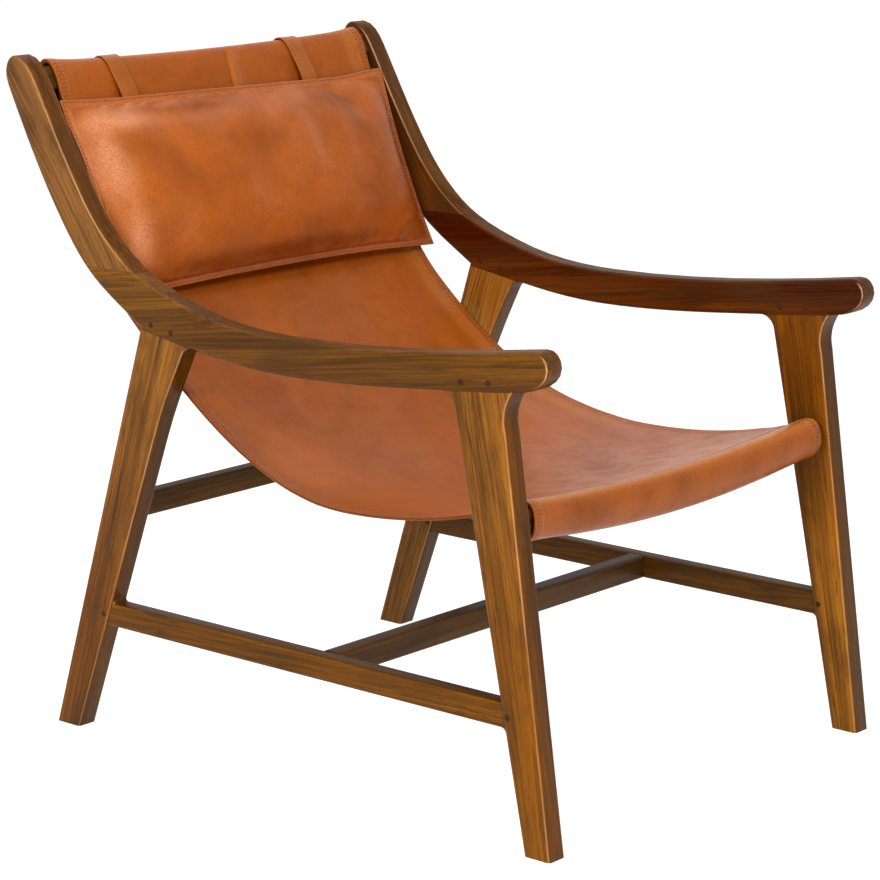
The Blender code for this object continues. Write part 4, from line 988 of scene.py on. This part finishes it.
def merged_copy(node):
    """The node's own shape, its faces joined so that rounded edges shade smoothly."""
    name = f"{node}_wood"
    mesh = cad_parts[node].data.copy()
    mesh.name = name
    build = bmesh.new()
    build.from_mesh(mesh)
    bmesh.ops.remove_doubles(build, verts=build.verts, dist=MERGE_DISTANCE)
    bmesh.ops.recalc_face_normals(build, faces=build.faces)
    build.to_mesh(mesh)
    build.free()
    if "custom_normal" in mesh.attributes:
        mesh.attributes.remove(mesh.attributes["custom_normal"])
    mesh.materials.clear()
    mesh.shade_smooth()
    mesh.set_sharp_from_angle(angle=math.radians(SHARP_ANGLE))
    obj = new_object(name, mesh)
    weighted = obj.modifiers.new("face_weighted", "WEIGHTED_NORMAL")
    weighted.keep_sharp = True
    weighted.weight = FACE_WEIGHT
    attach(obj, "frame")
    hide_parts(node)
    return obj


def woodwork():
    # The left frame's look holds darker copies of the colours: painted shade.
    for number, (kind, angle, right_lit_look, left_shaded_look) in enumerate(WOOD_PIECES):
        for seed, side, look in ((2 * number + 1, "right", right_lit_look), (2 * number + 2, "left", left_shaded_look)):
            obj = merged_copy(f"{kind}_{side}")
            obj.data.materials.append(wood_material(f"{kind}_{side}_grain", angle, seed, look))
    look = (0.0, 1.0, RAIL_COLOUR, RAIL_COLOUR, RAIL_COLOUR)
    for number, node in enumerate(RAILS):
        obj = merged_copy(node)
        obj.data.materials.append(wood_material(f"{node}_grain", 0, RAIL_SEED + number, look, across=True))
    pegs = [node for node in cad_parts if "peg" in node or "dowel" in node]
    for number, node in enumerate(sorted(pegs)):
        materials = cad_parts[node].data.materials
        materials.clear()
        materials.append(peg_material(f"{node}_end_grain", number))


# Studio

def backdrop_rays(graph):
    """1 for the rays that show the white background, 0 for those that light the object."""
    kinds = ("Is Camera Ray", "Is Glossy Ray", "Is Transmission Ray")
    return graph.math("MAXIMUM", *(graph.add("LightPath", kind) for kind in kinds))


def white_floor():
    """A wide pale floor that shows white and keeps a soft shadow."""
    build = bmesh.new()
    inner = [build.verts.new((0, 0, 0))]
    angles = [2 * math.pi * k / FLOOR_SIDES for k in range(FLOOR_SIDES)]
    for radius in FLOOR_RADII:
        ring = [build.verts.new((radius * math.cos(angle), radius * math.sin(angle), 0)) for angle in angles]
        for k in range(FLOOR_SIDES):
            after = (k + 1) % FLOOR_SIDES
            near = inner if len(inner) == 1 else (inner[after], inner[k])
            build.faces.new((*near, ring[k], ring[after]))
        inner = ring
    mesh = bpy.data.meshes.new("studio_floor")
    build.to_mesh(mesh)
    build.free()
    obj = new_object("studio_floor", mesh)
    obj.location = FLOOR_PLACE
    graph = MaterialGraph("floor_white")
    soft = graph.add("BsdfDiffuse", Color=(FLOOR_SHADE,) * 3)
    glow = graph.add("Emission", Color=(1.0, 1.0, 1.0), Strength=FLOOR_GLOW)
    shown = graph.add("AddShader", i0=soft, i1=glow)
    real = graph.add("BsdfDiffuse", Color=(FLOOR_REFLECTANCE,) * 3)
    mixed = graph.add("MixShader", i0=backdrop_rays(graph), i1=real, i2=shown)
    graph.feed(graph.tree.nodes["Material Output"].inputs["Surface"], mixed)
    graph.tree.nodes.remove(graph.shader)
    mesh.materials.append(graph.material)


def studio():
    scene = bpy.context.scene
    scene.view_settings.view_transform = "Standard"
    world = scene.world = bpy.data.worlds.new("studio_world")
    world.use_nodes = True
    graph = Graph(world.node_tree)
    background = graph.tree.nodes["Background"]
    graph.feed(background.inputs["Color"], (1.0, 1.0, 1.0))
    level = graph.ramp(backdrop_rays(graph), 0.0, 1.0, WORLD_LEVEL, 1.0, smooth=False)
    graph.feed(background.inputs["Strength"], level)
    for name, place, target, size, power, colour in LIGHTS:
        data = bpy.data.lights.new(name, "AREA")
        data.shape = "RECTANGLE"
        data.size, data.size_y = size
        data.energy = power
        data.color = colour
        obj = new_object(name, data)
        obj.location = place
        obj.rotation_mode = "QUATERNION"
        obj.rotation_quaternion = (Vector(target) - Vector(place)).to_track_quat("-Z", "Y")


def camera():
    azimuth, elevation, roll = (math.radians(angle) for angle in CAMERA_ANGLES)
    forward = Vector((-math.sin(azimuth) * math.cos(elevation), math.cos(azimuth) * math.cos(elevation),
                      -math.sin(elevation)))
    right = Vector((math.cos(azimuth), math.sin(azimuth), 0))
    up = right.cross(forward)
    right, up = right * math.cos(roll) + up * math.sin(roll), up * math.cos(roll) - right * math.sin(roll)
    data = bpy.data.cameras.new("camera")
    data.sensor_width = SENSOR
    data.lens = FOCAL_LENGTH * SENSOR / PICTURE
    data.shift_x, data.shift_y = (pixels / PICTURE for pixels in CAMERA_SHIFT)
    data.clip_start, data.clip_end = 0.1, 100.0
    obj = new_object("camera", data)
    turn = Matrix((right, up, -forward)).transposed()
    obj.matrix_world = Matrix.Translation(CAMERA_PLACE) @ turn.to_4x4()
    bpy.context.scene.camera = obj


camera()
studio()
white_floor()
waxed_thread, flesh_side = thread_material(), suede_material()
woodwork()
sling(waxed_thread, flesh_side)
pillow(waxed_thread)
for side_name, low_x, high_x in STRAPS:
    strap(side_name, low_x, high_x, flesh_side)
